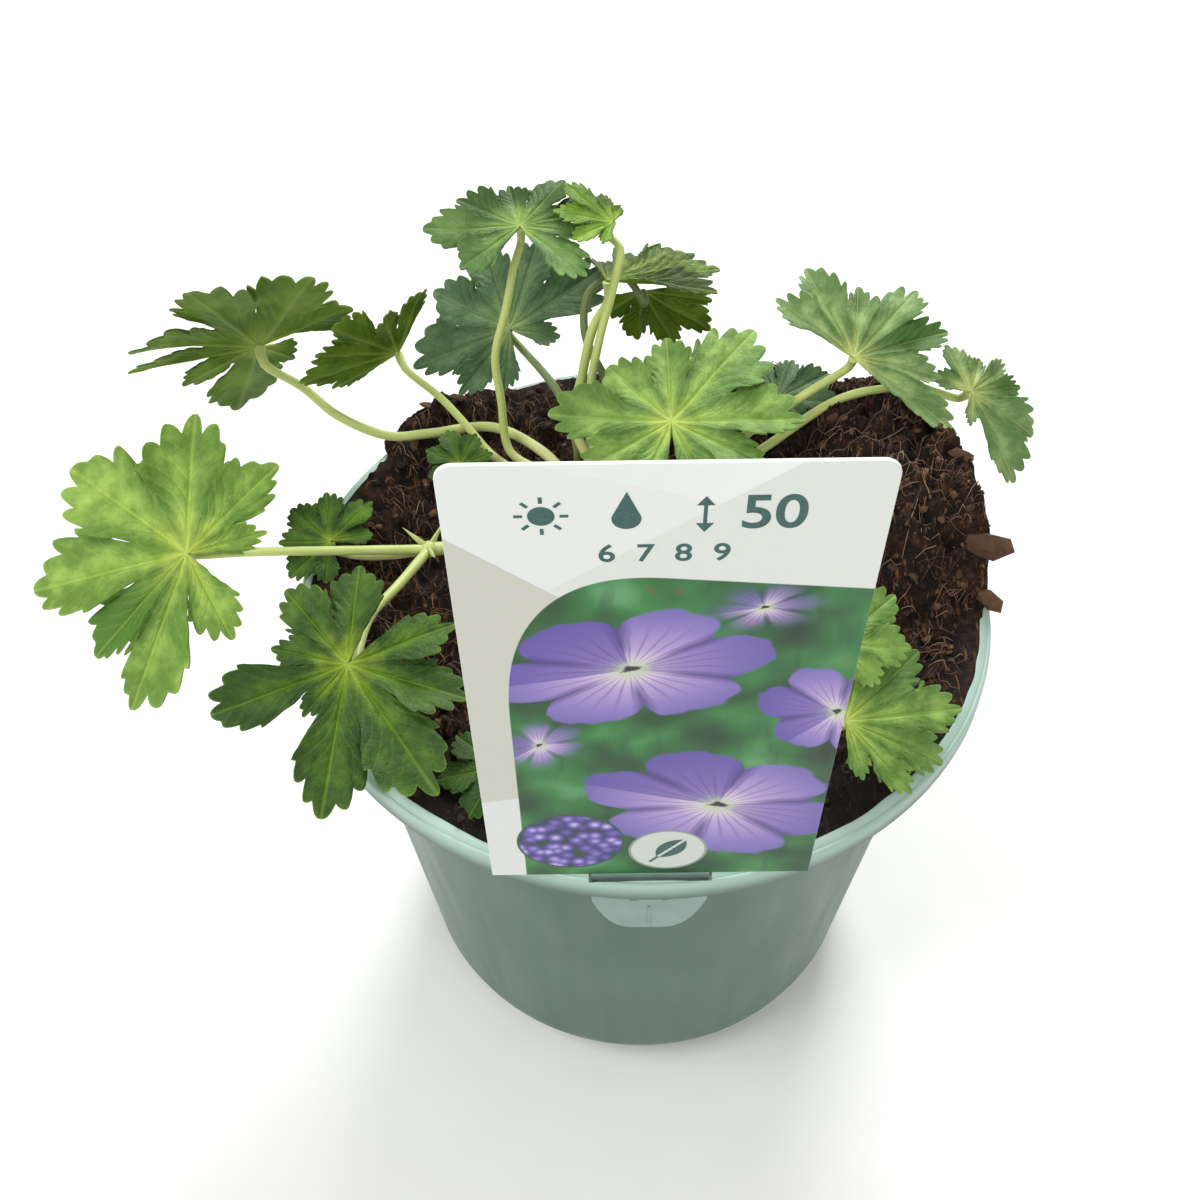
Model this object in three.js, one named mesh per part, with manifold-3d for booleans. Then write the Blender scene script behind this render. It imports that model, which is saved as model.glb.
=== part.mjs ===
// A young hardy geranium in a plastic nursery pot, with its compost and its plant label.
// Millimetres, +Z up. The origin is the centre of the pot's base, and the label stands at
// the front, at -Y. Leaves, stalks, crown, compost, pot and label are separate solids.

import * as THREE from 'three';
import { mergeVertices } from 'three/addons/utils/BufferGeometryUtils.js';
import Module from 'manifold-3d';

const wasm = await Module();
wasm.setup();

// ---- driving dimensions -------------------------------------------------------------

const gap = 0.3; // clearance between pieces that touch

const pot = {
  height: 146,
  rim: 90, // outer radius of the rolled rim
  rimInner: 86.5, // inner edge of the rim's top
  rimDrop: 1.6, // the rim's top falls this much towards its outer edge
  skirt: 7, // height of the rim's hanging skirt
  wallTop: 80, // outer radius just under the rim
  wallFoot: 68, // outer radius where the wall meets the rounded foot
  footRound: 18, // radius of the rounded foot
  wall: 1.7,
  boss: 15, // radius of the base's flat middle, which touches the ground
  recess: 2, // how far the drained ring around it stands off the ground
  flare: [[0, 11], [0.9, 7.4], [3.2, 4.4], [6, 2.3]], // the wall's run out to the rim: out, down
  drainHoles: 6,
  drainDiameter: 9,
  drainCircle: 30, // radius at which the drain holes sit
  sides: 40,
};

const label = {
  width: 69,
  length: 127,
  thickness: 0.8,
  corner: 3,
  lean: 3.3, // degrees, the top leaning out over the front
  x: -1,
  y: -87,
  tongueWidth: 26,
  tongueFoot: 15,
  tongueLength: 27,
  tongueShoulder: 13, // how far down the tongue starts to narrow
};

const soil = {
  level: 139, // height at the middle of the pot
  slope: 0.075, // the surface rises towards the back
  mound: 30, // heap over the right and back of the rim
  shoulder: 0.2, // the part of the heap that runs on along the front right
  tuft: 12, // smaller heap at the back left
  socketSides: 8,
  bankFrom: 66, // radius from which the compost is banked up towards the rim
  bankTo: 84,
  bankDrop: 0.4, // how far below the rim the bank ends
  fallFrom: 78, // radius where a heap above the rim starts to fall away
  edge: 91, // how far it spills over the rim
  rings: 11,
  sides: 40,
};

const blade = {
  thickness: 0.8,
  slit: 0.42, // depth of the cuts between lobes, as a share of the lobe
  width: 0.97, // share of its sector that a lobe fills
  pleat: 0.05, // each lobe is a shallow channel along its midrib
  wave: 0.035,
};

const stalk = { radius: 1.2, sides: 6, step: 7.5, depth: 10 };

const crown = { x: -18, y: 30, radius: 6, height: 5, depth: 9 };

// ---- colours ------------------------------------------------------------------------

const finish = {
  pot: { color: 0x8fae9c, roughness: 0.5 },
  soil: { color: 0x2e2019, roughness: 1.0 },
  label: { color: 0xdfe3dd, roughness: 0.35 },
  leaf: { color: 0x6a9a45, roughness: 0.6 },
  stalk: { color: 0xb9c27a, roughness: 0.55 },
  crown: { color: 0x7a5a3c, roughness: 0.9 },
};

// ---- leaves -------------------------------------------------------------------------
// hub: where the stalk meets the blade. tilt: how far the blade leans from level, and the
// compass angle it leans to, counted from +X. lobes: angle and length of each lobe, angles
// counted from +X before the tilt, anticlockwise from the cut where the stalk comes in.

const leaves = {
  far_left: {
    hub: [-117, 1, 158], tilt: [38, -95], width: 0.9, slit: 0.36,
    lobes: [[13, 20], [43, 31], [88, 35], [143, 38], [191, 41], [226, 35], [249, 41], [296, 24]],
  },
  front_left: {
    hub: [-70, -41.5, 164], tilt: [24, -95], width: 0.9, slit: 0.4,
    lobes: [[86, 24], [130, 24], [166, 18], [199, 33], [229, 15], [262, 34], [305, 36], [343, 28], [381, 25]],
  },
  small_left: {
    hub: [-82, 9.5, 153.5], tilt: [18, -90],
    lobes: [[10, 11], [50, 15], [98, 14], [138, 15], [182, 13], [226, 14], [268, 12]],
  },
  back_left: {
    hub: [-104, 61, 178], tilt: [60, 110],
    lobes: [[72, 14], [126, 34], [176, 24], [209, 34], [238, 40], [271, 43], [314, 38], [348, 29]],
  },
  folded_left: {
    hub: [-67, 65, 172], tilt: [70, 115],
    lobes: [[183, 20], [209, 28], [231, 26], [255, 28], [283, 22], [307, 27]],
  },
  top: {
    hub: [-31, 72, 207.5], tilt: [15, -90], slit: 0.5,
    lobes: [[-42, 23], [-6, 19], [17, 25], [55, 20], [103, 14.5], [150, 19], [181, 24.5], [220, 20]],
  },
  top_small: {
    hub: [-6.5, 71.5, 208.6], tilt: [25, -60],
    lobes: [[70, 6], [110, 9], [142, 16], [176, 15], [212, 12], [250, 7]],
  },
  dark_back: {
    hub: [-36, 75, 172], tilt: [40, -80], slit: 0.6,
    lobes: [[-4, 14], [36, 32], [74, 26], [107, 24], [156, 23], [205, 28], [235, 23], [268, 17]],
  },
  level_back: {
    hub: [-8, 71, 191], tilt: [17, 100],
    lobes: [[-9, 29], [16, 31], [43, 29], [69, 27], [95, 22]],
  },
  hanging_back: {
    hub: [2, 80, 181], tilt: [84, 95],
    lobes: [[17, 20], [43, 25], [70, 23], [98, 17], [150, 13]],
  },
  centre_back: {
    hub: [8, 29, 176], tilt: [20, -90], slit: 0.5,
    lobes: [[-66, 22], [-27, 27], [2, 34], [51, 36], [91, 25], [132, 24], [176, 31], [210, 26], [246, 22]],
  },
  low_right: {
    hub: [38.5, 50, 166], tilt: [13, -100], lobes: [[-40, 10], [-8, 16], [30, 17], [68, 15], [105, 13]],
  },
  right: {
    hub: [57, 46, 182.8], tilt: [25, -80], slit: 0.55,
    lobes: [[-35, 32], [-7, 24], [20, 28], [49, 28], [82, 22], [112, 29], [137, 26]],
  },
  far_right: {
    hub: [90, 45, 171.5], tilt: [34, -60],
    lobes: [[-86, 9], [-56, 27], [-22, 22], [16, 16], [42, 15], [72, 11], [118, 14], [162, 11]],
  },
  front_right: {
    hub: [44, -57.5, 161], tilt: [26, -45], slit: 0.7,
    lobes: [[-72, 13], [-42, 21], [-13, 26], [14, 31], [45, 28], [76, 25]],
  },
  mid_right: {
    hub: [42.7, -42.4, 170], tilt: [25, -60],
    lobes: [[-38, 13], [3, 18], [42, 20], [82, 16], [122, 13]],
  },
  young_left: {
    hub: [-49, 34.5, 157], tilt: [25, -90], lobes: [[20, 9], [65, 10], [110, 11], [155, 10], [200, 9]],
  },
  low_front: {
    hub: [-35, -61, 150.3], tilt: [12, -120], lobes: [[90, 12], [140, 13], [190, 14], [240, 14], [290, 12]],
  },
  inner_left: { hub: [-14, -21, 168], tilt: [15, -100], reach: 22, heading: 250 },
  inner_right: { hub: [19, -19, 172], tilt: [20, -50], reach: 20, heading: -40 },
  inner_front: { hub: [-2, -56, 160], tilt: [15, -90], reach: 20, heading: -80 },
};

// A leaf without lobes of its own has the usual seven, as shares of its reach.
const usualLobes = [[-132, 0.66], [-92, 0.85], [-46, 0.96], [0, 1], [46, 0.96], [92, 0.85], [132, 0.66]];

// ---- stalks -------------------------------------------------------------------------
// Each leaf's stalk stands in the compost at root and passes through the listed points.

const stalks = {
  back_left: {
    root: [-20, 39.5], radius: 1.4,
    through: [
      [-26, 47, 149], [-41, 56, 151.5], [-59, 52, 153], [-70, 50, 154], [-84, 52, 160], [-93, 55, 168],
    ],
  },
  folded_left: { root: [-32, 38], through: [[-42, 47, 150], [-49, 53, 156], [-55.5, 58, 161]] },
  top: {
    root: [-27, 41],
    through: [[-36, 47, 150], [-38, 53, 164], [-39, 57, 176], [-35.5, 62, 188], [-33, 67, 198]],
  },
  top_small: {
    root: [-8, 38],
    through: [[-13.5, 47, 156], [-13, 52, 169], [-10, 58.5, 182], [-6.5, 64, 193], [-4.5, 68.5, 202]],
  },
  dark_back: { root: [-17, 50], through: [[-22, 60, 160]] },
  level_back: {
    root: [-13, 45], radius: 1.4,
    through: [[-18, 52, 156], [-15.5, 57, 168], [-12, 63, 181]],
  },
  hanging_back: {
    root: [-2, 46],
    through: [[-6, 57, 160], [-14.5, 69, 175], [-12.5, 75.5, 184.5], [-3, 78.5, 186.2]],
  },
  centre_back: { root: [-7, 30], through: [[-4, 22, 158], [4, 25, 170]] },
  low_right: { root: [-2, 34], through: [[12, 39, 153], [28, 45, 160]] },
  right: { root: [-3, 26], radius: 1.3, through: [[14, 33, 153], [32, 39, 165], [45, 42, 174]] },
  far_right: {
    root: [-5, 19], radius: 1.3,
    through: [[12, 25, 151], [34, 36, 160], [56, 45.5, 169.5], [75, 46, 172]],
  },
  front_right: { root: [-11, 17], through: [[2, -4, 146], [24, -38, 153]] },
  mid_right: { root: [-12, 21], through: [[4, 8, 147], [26, -14, 154]] },
  young_left: { root: [-31, 33], radius: 1, through: [[-40, 34, 150]] },
  low_front: { root: [-26, 18], radius: 1, through: [[-29, -16, 143], [-33, -44, 144]] },
  inner_left: { root: [-21, 18], through: [[-19, 2, 152]] },
  inner_right: { root: [-16, 16], through: [[0, -2, 154]] },
  inner_front: { root: [-17, 11], through: [[-10, -20, 145], [-4, -44, 150]] },
};

// One sprawling stem carries three leaves on the left from a swollen joint.
const sprawl = {
  root: [-31, 25],
  radius: 1.7,
  through: [[-38, 17, 146], [-47, 11, 149]],
  joint: [-56, 8, 151],
  branches: {
    far_left: { through: [[-76, 4, 155], [-100, 2, 157]] },
    front_left: { through: [[-62, -7, 154], [-68, -20, 156]] },
    small_left: { through: [[-66, 8, 149], [-75, 8, 149]] },
  },
  scales: [[60, 8], [150, 9], [-70, 8]], // compass angle and length of each scale leaf
};

// ---- solids -------------------------------------------------------------------------

const vec = (p) => new THREE.Vector3(...p);
const radians = THREE.MathUtils.degToRad;

// Keeps only position and whole triangles, so that the mesh is closed.
function closed(geometry) {
  const bare = geometry.clone();
  bare.deleteAttribute('normal');
  bare.deleteAttribute('uv');
  const merged = mergeVertices(bare, 1e-4);
  const corners = merged.index.array;
  const kept = [];
  for (let i = 0; i < corners.length; i += 3) {
    const [a, b, c] = [corners[i], corners[i + 1], corners[i + 2]];
    if (a !== b && b !== c && c !== a) kept.push(a, b, c);
  }
  merged.setIndex(kept);
  return merged;
}

function solid(geometry) {
  const shape = closed(geometry);
  const build = (corners) => new wasm.Manifold(new wasm.Mesh({
    numProp: 3,
    vertProperties: new Float32Array(shape.attributes.position.array),
    triVerts: new Uint32Array(corners),
  }));
  const body = build(shape.index.array);
  return body.volume() > 0 ? body : build([...shape.index.array].reverse());
}

function geometryOf(body) {
  const { vertProperties, triVerts } = body.getMesh();
  const geometry = new THREE.BufferGeometry();
  geometry.setAttribute('position', new THREE.Float32BufferAttribute(vertProperties, 3));
  geometry.setIndex([...triVerts]);
  return geometry;
}

function piece(name, geometry, look) {
  geometry.computeVertexNormals();
  const mesh = new THREE.Mesh(geometry, new THREE.MeshStandardMaterial({ metalness: 0, ...look }));
  mesh.name = name;
  return mesh;
}

// A turned solid from its outline, radius and height, about the Z axis.
function turned(outline, sides) {
  const points = outline.map(([r, z]) => new THREE.Vector2(r, z));
  return solid(new THREE.LatheGeometry(points, sides).rotateX(Math.PI / 2));
}

function block(size, centre) {
  return new THREE.BoxGeometry(...size).translate(...centre);
}

function pin(radius, low, high, x, y, sides = 8) {
  const rod = new THREE.CylinderGeometry(radius, radius, high - low, sides).rotateX(Math.PI / 2);
  return rod.translate(x, y, (low + high) / 2);
}

// Repeatable noise in 0..1.
function chance(seed, step) {
  const value = Math.sin(seed * 127.1 + step * 311.7) * 43758.5453;
  return value - Math.floor(value);
}

const smooth = THREE.MathUtils.smoothstep;

// ---- pot ----------------------------------------------------------------------------

const footCentre = pot.wallFoot - pot.footRound;
const standInner = footCentre - 4; // inner radius of the ring that the pot stands on

// Quarter turn of the rounded foot, from the ground outwards and up.
function footArc(radius, lift = 0) {
  return [0, 1, 2, 3, 4, 5].map((step) => {
    const turn = radians(18 * step);
    return [footCentre + radius * Math.sin(turn), pot.footRound - radius * Math.cos(turn) + lift];
  });
}

// Inner face from the middle of the floor to the rim's inner edge, moved inwards by inset.
function innerFace(inset) {
  const floor = pot.wall + inset;
  const ledge = pot.recess + floor;
  return [
    [0, floor], [pot.boss - 2, floor], [pot.boss + 1, ledge], [standInner - 3, ledge], [standInner, floor],
    ...footArc(pot.footRound - pot.wall - inset),
    ...flare(pot.wallTop - pot.wall - inset, 0.6 * pot.wall + inset),
    [pot.rimInner - inset, pot.height + inset],
  ];
}

// The curve from the top of the wall out to the rim, for one face of the wall.
function flare(radius, lift) {
  return pot.flare.map(([out, down]) => [radius + out, pot.height - down + lift]);
}

function outerFace() {
  const { height: top, rim, rimDrop, recess, skirt, wall, boss } = pot;
  const underRim = top - pot.flare.at(-1)[1];
  return [
    [rim - 0.7, top - rimDrop], [rim, top - rimDrop - 0.8], [rim, top - skirt],
    [rim - 0.8 * wall, top - skirt], [rim - 0.8 * wall, underRim],
    ...flare(pot.wallTop, 0).reverse(),
    ...footArc(pot.footRound).reverse(),
    [standInner, 0], [standInner - 2, recess], [boss + 2, recess], [boss, 0], [0, 0],
  ];
}

// A pad under the rim, and the slot through both that the label's tongue goes down.
function labelSlot(body) {
  const padSize = [label.tongueWidth + 8, 5.2, 2.4];
  const pad = solid(block(padSize, [label.x, label.y + 1.2, pot.height - 1.9]));
  const space = block([label.tongueWidth + 1, 2 * label.thickness, 16], [0, 0, 0]);
  const slot = solid(space.rotateX(radians(label.lean)).translate(label.x, label.y, pot.height));
  return body.add(pad).subtract(slot);
}

function potBody() {
  let body = labelSlot(turned([...innerFace(0), ...outerFace()], pot.sides));
  for (let hole = 0; hole < pot.drainHoles; hole += 1) {
    const turn = (hole / pot.drainHoles) * 2 * Math.PI;
    const [x, y] = [pot.drainCircle * Math.cos(turn), pot.drainCircle * Math.sin(turn)];
    body = body.subtract(solid(pin(pot.drainDiameter / 2, -1, 9, x, y, 16)));
  }
  return geometryOf(body);
}

// ---- compost ------------------------------------------------------------------------

// Heaps on the compost, by compass angle and radius: the mound and the tuft.
function soilHeap(turn, r) {
  const start = soil.shoulder * smooth(turn, -60, -35) + (1 - soil.shoulder) * smooth(turn, -11, 6);
  const mound = start * Math.exp(-((Math.max(0, turn - 22) / 38) ** 2)) * smooth(r, 30, 74);
  const tuft = Math.exp(-(((turn - 134) / 13) ** 2)) * smooth(r, 70, 87);
  return soil.mound * mound + soil.tuft * tuft;
}

// The compost is banked up against the wall, but for the space behind the label's slot.
function soilBank(turn, r, height) {
  const rise = Math.max(0, pot.height - soil.bankDrop - height);
  return rise * smooth(Math.abs(turn + 90), 13, 21) * smooth(r, soil.bankFrom, soil.bankTo);
}

// Height of the compost's surface: low at the front, heaped at the right and back.
function soilHeight(x, y) {
  const r = Math.hypot(x, y);
  const turn = THREE.MathUtils.radToDeg(Math.atan2(y, x));
  const lumps = 1.1 * Math.sin(x * 0.31 + 1.3) * Math.sin(y * 0.27 + 0.4)
    + 0.7 * Math.sin(x * 0.63 - y * 0.41) + 0.6 * Math.sin(x * 0.35 + y * 0.83 + 2);
  const bare = soil.level + soil.slope * y + soilHeap(turn, r) + lumps;
  const height = bare + soilBank(turn, r, bare);
  const brink = pot.height - 1;
  if (r < soil.fallFrom || height < brink) return height;
  const fall = Math.min(1, (r - soil.fallFrom) / (soil.edge - soil.fallFrom));
  return brink + (height - brink) * Math.sqrt(1 - fall ** 4);
}

function soilBlob() {
  const corners = [[0, 0, soilHeight(0, 0)], [0, 0, 0]];
  const faces = [];
  const at = (ring, side) => 2 + ring * soil.sides + (side % soil.sides);
  for (let ring = 1; ring <= soil.rings + 1; ring += 1) {
    const r = soil.edge * Math.min(1, ring / soil.rings);
    for (let side = 0; side < soil.sides; side += 1) {
      const turn = (side / soil.sides) * 2 * Math.PI;
      const [x, y] = [r * Math.cos(turn), r * Math.sin(turn)];
      corners.push([x, y, ring > soil.rings ? 0 : soilHeight(x, y)]);
    }
  }
  for (let side = 0; side < soil.sides; side += 1) {
    faces.push(0, at(0, side), at(0, side + 1), 1, at(soil.rings, side + 1), at(soil.rings, side));
    for (let ring = 0; ring < soil.rings; ring += 1) {
      const [a, b] = [at(ring, side), at(ring, side + 1)];
      const [c, d] = [at(ring + 1, side), at(ring + 1, side + 1)];
      faces.push(a, c, b, b, c, d);
    }
  }
  const geometry = new THREE.BufferGeometry();
  geometry.setAttribute('position', new THREE.Float32BufferAttribute(corners.flat(), 3));
  return solid(geometry.setIndex(faces));
}

// The space the compost may fill: the pot's inside, and the air above its rim.
function soilSpace() {
  const low = pot.height + gap;
  const high = low + 2 * soil.mound;
  const out = soil.edge + 4;
  return turned([...innerFace(1.35 * gap), [out, low], [out, high], [0, high]], pot.sides);
}

function compost() {
  let body = soilBlob().intersect(soilSpace());
  const bore = (x, y, radius, depth) => {
    const level = soilHeight(x, y);
    const clear = (radius + gap + 0.08) / Math.cos(Math.PI / soil.socketSides);
    const socket = pin(clear, level - depth - gap, level + 5, x, y, soil.socketSides);
    body = body.subtract(solid(socket));
  };
  for (const { root: [x, y], radius = stalk.radius } of [...Object.values(stalks), sprawl]) {
    bore(x, y, radius, stalk.depth);
  }
  bore(crown.x, crown.y, crown.radius, crown.depth);
  return geometryOf(body);
}

// ---- label --------------------------------------------------------------------------

function plantLabel() {
  const { width, length: top, corner, tongueLength: low, tongueShoulder: shoulder } = label;
  const side = width / 2;
  const tongue = label.tongueWidth / 2;
  const foot = label.tongueFoot / 2;
  const outline = new THREE.Shape();
  outline.moveTo(side, 0);
  outline.lineTo(side, top - corner);
  outline.absarc(side - corner, top - corner, corner, 0, Math.PI / 2);
  outline.absarc(corner - side, top - corner, corner, Math.PI / 2, Math.PI);
  outline.lineTo(-side, 0);
  outline.lineTo(-tongue, 0);
  outline.lineTo(-tongue, -shoulder);
  outline.quadraticCurveTo(-foot - 2, -low, 4 - foot, -low);
  outline.lineTo(foot - 4, -low);
  outline.quadraticCurveTo(foot + 2, -low, tongue, -shoulder);
  outline.lineTo(tongue, 0);
  const sheet = new THREE.ExtrudeGeometry(outline, {
    depth: label.thickness, bevelEnabled: false, curveSegments: 5,
  });
  sheet.translate(0, 0, -label.thickness / 2).rotateX(Math.PI / 2 + radians(label.lean));
  return closed(sheet.translate(label.x, label.y, pot.height + gap + 0.1));
}

// ---- leaf blades --------------------------------------------------------------------

// Outline of one half of a lobe: share of the half sector, share of the lobe's length.
const toothLine = [[0.95, 0.7], [0.96, 0.78], [0.78, 0.84], [0.62, 0.95], [0.36, 0.91]];
const lobePoint = 1.04; // the middle tooth, as a share of the lobe's length
const midribSpots = [0.38, 0.6]; // where the midrib's two inner points lie

function leafShape(name, index) {
  const given = leaves[name];
  const turnedLobes = usualLobes.map(([angle, share]) => [given.heading + angle, given.reach * share]);
  const lobes = given.lobes ?? turnedLobes;
  const reach = Math.max(...lobes.map(([, length]) => length));
  return { ...blade, ...given, lobes, reach, seed: index + 1 };
}

// Half sectors of each lobe: halfway to its neighbours, and even at the two ends.
function sectors({ lobes }) {
  return lobes.map(([angle, length], i) => {
    const before = i > 0 ? (angle - lobes[i - 1][0]) / 2 : null;
    const after = i < lobes.length - 1 ? (lobes[i + 1][0] - angle) / 2 : null;
    return { angle, length, before: before ?? after, after: after ?? before };
  });
}

function bladeRise(leaf, x, y, across) {
  const { reach, seed, pleat, wave } = leaf;
  const q = Math.hypot(x, y) / reach;
  const turn = Math.atan2(y, x);
  let rise = pleat * reach * (Math.abs(across) ** 1.5 - 0.4) * Math.min(q, 1);
  rise += wave * reach * q * q * Math.sin(3 * turn + 6.3 * chance(seed, 1));
  rise += 0.7 * wave * reach * q * q * Math.sin(5 * turn + 6.3 * chance(seed, 2));
  return rise;
}

// The blade's axes: out along +X and +Y of the leaf, and up from its face.
function bladeAxes({ tilt: [lean, compass] }) {
  const hinge = new THREE.Vector3(-Math.sin(radians(compass)), Math.cos(radians(compass)), 0);
  const turn = new THREE.Quaternion().setFromAxisAngle(hinge, radians(lean));
  return [[1, 0, 0], [0, 1, 0], [0, 0, 1]].map((axis) => vec(axis).applyQuaternion(turn));
}

// Flat pattern of the blade: points as [angle, radius, place across the lobe], and faces.
function bladePattern(leaf) {
  const spots = [[0, 0, 0]];
  const rim = [0];
  const faces = [];
  const add = (angle, radius, across) => spots.push([angle, radius, across]) - 1;
  const parts = sectors(leaf);
  let slit = null;
  parts.forEach(({ angle, length, before, after }, i) => {
    const next = parts[i + 1];
    const jitter = (step) => 1 + 0.05 * (chance(leaf.seed, 20 * i + step) - 0.5);
    const edge = [slit ?? add(angle - before, leaf.slit * length * 0.8, -1)];
    const side = (half, sign) => toothLine.map(([share, reach], step) => {
      const radius = length * reach * jitter(step + 6 * (sign + 1));
      return [angle + sign * half * share * leaf.width, radius, sign * share];
    });
    for (const spot of side(before, -1)) edge.push(add(...spot));
    edge.push(add(angle, length * lobePoint, 0));
    for (const spot of side(after, 1).reverse()) edge.push(add(...spot));
    const depth = leaf.slit * (next ? Math.min(length, next.length) : length * 0.8);
    slit = add(angle + after, depth, 1);
    edge.push(slit);

    const [inner, outer] = midribSpots.map((share) => add(angle, length * share, 0));
    const [first, last] = [edge[0], edge[edge.length - 1]];
    faces.push([0, first, inner], [0, inner, last], [inner, first, edge[1]]);
    faces.push([inner, edge[1], outer], [inner, outer, edge[edge.length - 2]]);
    faces.push([inner, edge[edge.length - 2], last]);
    for (let k = 1; k < edge.length - 2; k += 1) faces.push([outer, edge[k], edge[k + 1]]);
    rim.push(...(i === 0 ? edge : edge.slice(1)));
  });
  return { spots, rim, faces };
}

function leafBlade(leaf) {
  const { spots, rim, faces } = bladePattern(leaf);
  const [out, side, up] = bladeAxes(leaf);
  const corners = [];
  for (const lower of [0, leaf.thickness]) {
    for (const [angle, radius, across] of spots) {
      const [x, y] = [radius * Math.cos(radians(angle)), radius * Math.sin(radians(angle))];
      const rise = bladeRise(leaf, x, y, across) - lower;
      const spot = vec(leaf.hub).addScaledVector(out, x).addScaledVector(side, y);
      corners.push(...spot.addScaledVector(up, rise).toArray());
    }
  }
  const under = spots.length;
  const index = [];
  for (const [a, b, c] of faces) index.push(a, b, c, c + under, b + under, a + under);
  rim.forEach((a, i) => {
    const b = rim[(i + 1) % rim.length];
    index.push(b, a, a + under, b, a + under, b + under);
  });
  const geometry = new THREE.BufferGeometry();
  geometry.setAttribute('position', new THREE.Float32BufferAttribute(corners, 3));
  return geometry.setIndex(index);
}

// ---- stalks and crown ---------------------------------------------------------------

function tube(points, radius) {
  const route = new THREE.CatmullRomCurve3(points);
  const ring = [...Array(stalk.sides).keys()].map((side) => {
    const turn = (side / stalk.sides) * 2 * Math.PI;
    return new THREE.Vector2(radius * Math.cos(turn), radius * Math.sin(turn));
  });
  const steps = Math.max(6, Math.round(route.getLength() / stalk.step));
  return new THREE.ExtrudeGeometry(new THREE.Shape(ring), { steps, extrudePath: route });
}

// The last stretch of a stalk: in from below, and square to the blade at its hub.
function seat(leaf) {
  const up = bladeAxes(leaf)[2];
  const below = (depth) => vec(leaf.hub).addScaledVector(up, -depth);
  return [below(leaf.thickness + 5), below(leaf.thickness + gap)];
}

function standing([x, y], depth = stalk.depth) {
  const level = soilHeight(x, y);
  return [-depth, -0.5 * depth, 1.5, 4.5].map((height) => new THREE.Vector3(x, y, level + height));
}

function stalkRoute(name) {
  const { root, through } = stalks[name];
  return [...standing(root), ...through.map(vec), ...seat(shapes[name])];
}

function sprawlRoute() {
  return [...standing(sprawl.root), ...sprawl.through.map(vec), vec(sprawl.joint)];
}

function leafStalk(name) {
  return closed(tube(stalkRoute(name), stalks[name].radius ?? stalk.radius));
}

// A pointed scale leaf, rooted at a spot and leaning out to a compass angle.
function scaleLeaf(spot, compass, length, lean, width) {
  const cone = new THREE.ConeGeometry(width, length, 5).translate(0, length / 2, 0);
  return cone.rotateX(Math.PI / 2).rotateY(radians(lean)).rotateZ(radians(compass)).translate(...spot);
}

function sprawlingStem() {
  const { joint, branches, radius } = sprawl;
  let body = solid(tube(sprawlRoute(), radius));
  body = body.add(solid(new THREE.SphereGeometry(radius * 1.35, 10, 8).translate(...joint)));
  for (const [name, branch] of Object.entries(branches)) {
    const route = [vec(joint), ...branch.through.map(vec), ...seat(shapes[name])];
    body = body.add(solid(tube(route, stalk.radius)));
  }
  for (const [compass, length] of sprawl.scales) {
    body = body.add(solid(scaleLeaf(joint, compass, length, 62, 1.7)));
  }
  return geometryOf(body);
}

function rootstock() {
  const { x, y, radius, height, depth } = crown;
  const level = soilHeight(x, y);
  const knob = [[0, -depth], [radius, -depth], [radius, 0.5], [radius * 0.8, height * 0.7], [0, height]];
  let body = turned(knob.map(([r, z]) => [r, z + level]), 12);
  body = body.translate([x, y, 0]);
  for (let scale = 0; scale < 7; scale += 1) {
    const compass = scale * 137.5;
    const lean = 15 + 25 * chance(7, scale);
    const foot = [x + 2.6 * Math.cos(radians(compass)), y + 2.6 * Math.sin(radians(compass)), level + 1.5];
    body = body.add(solid(scaleLeaf(foot, compass, 8 + 3 * chance(9, scale), lean, 1.9)));
  }
  return geometryOf(body);
}

// ---- assembly -----------------------------------------------------------------------

const shapes = {};
Object.keys(leaves).forEach((name, index) => {
  shapes[name] = leafShape(name, index);
});

const plant = new THREE.Group();
plant.add(piece('pot', potBody(), finish.pot));
plant.add(piece('compost', compost(), finish.soil));
plant.add(piece('plant_label', plantLabel(), finish.label));
plant.add(piece('rootstock', rootstock(), finish.crown));
plant.add(piece('stem_sprawling', sprawlingStem(), finish.stalk));
for (const name of Object.keys(stalks)) {
  plant.add(piece(`stalk_${name}`, leafStalk(name), finish.stalk));
}
for (const [name, shape] of Object.entries(shapes)) {
  plant.add(piece(`leaf_${name}`, leafBlade(shape), finish.leaf));
}

export default plant;
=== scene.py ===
import math
import random
from functools import partial
import bmesh
import bpy
from mathutils import Euler, Matrix, Quaternion, Vector, noise


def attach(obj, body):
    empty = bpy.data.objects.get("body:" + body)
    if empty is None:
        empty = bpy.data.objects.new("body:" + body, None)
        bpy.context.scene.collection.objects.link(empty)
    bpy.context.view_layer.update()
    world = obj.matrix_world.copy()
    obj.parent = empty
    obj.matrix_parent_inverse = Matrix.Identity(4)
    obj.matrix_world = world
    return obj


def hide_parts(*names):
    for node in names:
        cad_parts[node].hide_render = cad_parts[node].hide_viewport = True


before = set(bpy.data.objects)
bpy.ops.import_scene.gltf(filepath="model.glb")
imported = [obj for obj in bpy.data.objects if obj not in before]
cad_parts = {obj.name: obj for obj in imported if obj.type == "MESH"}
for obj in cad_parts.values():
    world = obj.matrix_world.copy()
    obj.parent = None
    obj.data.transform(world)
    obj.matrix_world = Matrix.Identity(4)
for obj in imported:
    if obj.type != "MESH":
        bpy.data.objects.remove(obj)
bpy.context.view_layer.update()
mm = 0.001
eased = {"interpolation_type": "SMOOTHSTEP"}  # for a Map Range that starts and ends softly
ofColours = {"data_type": "RGBA", "out": "Result"}  # for a Mix of two colours
print("stage: frame loaded")


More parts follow.
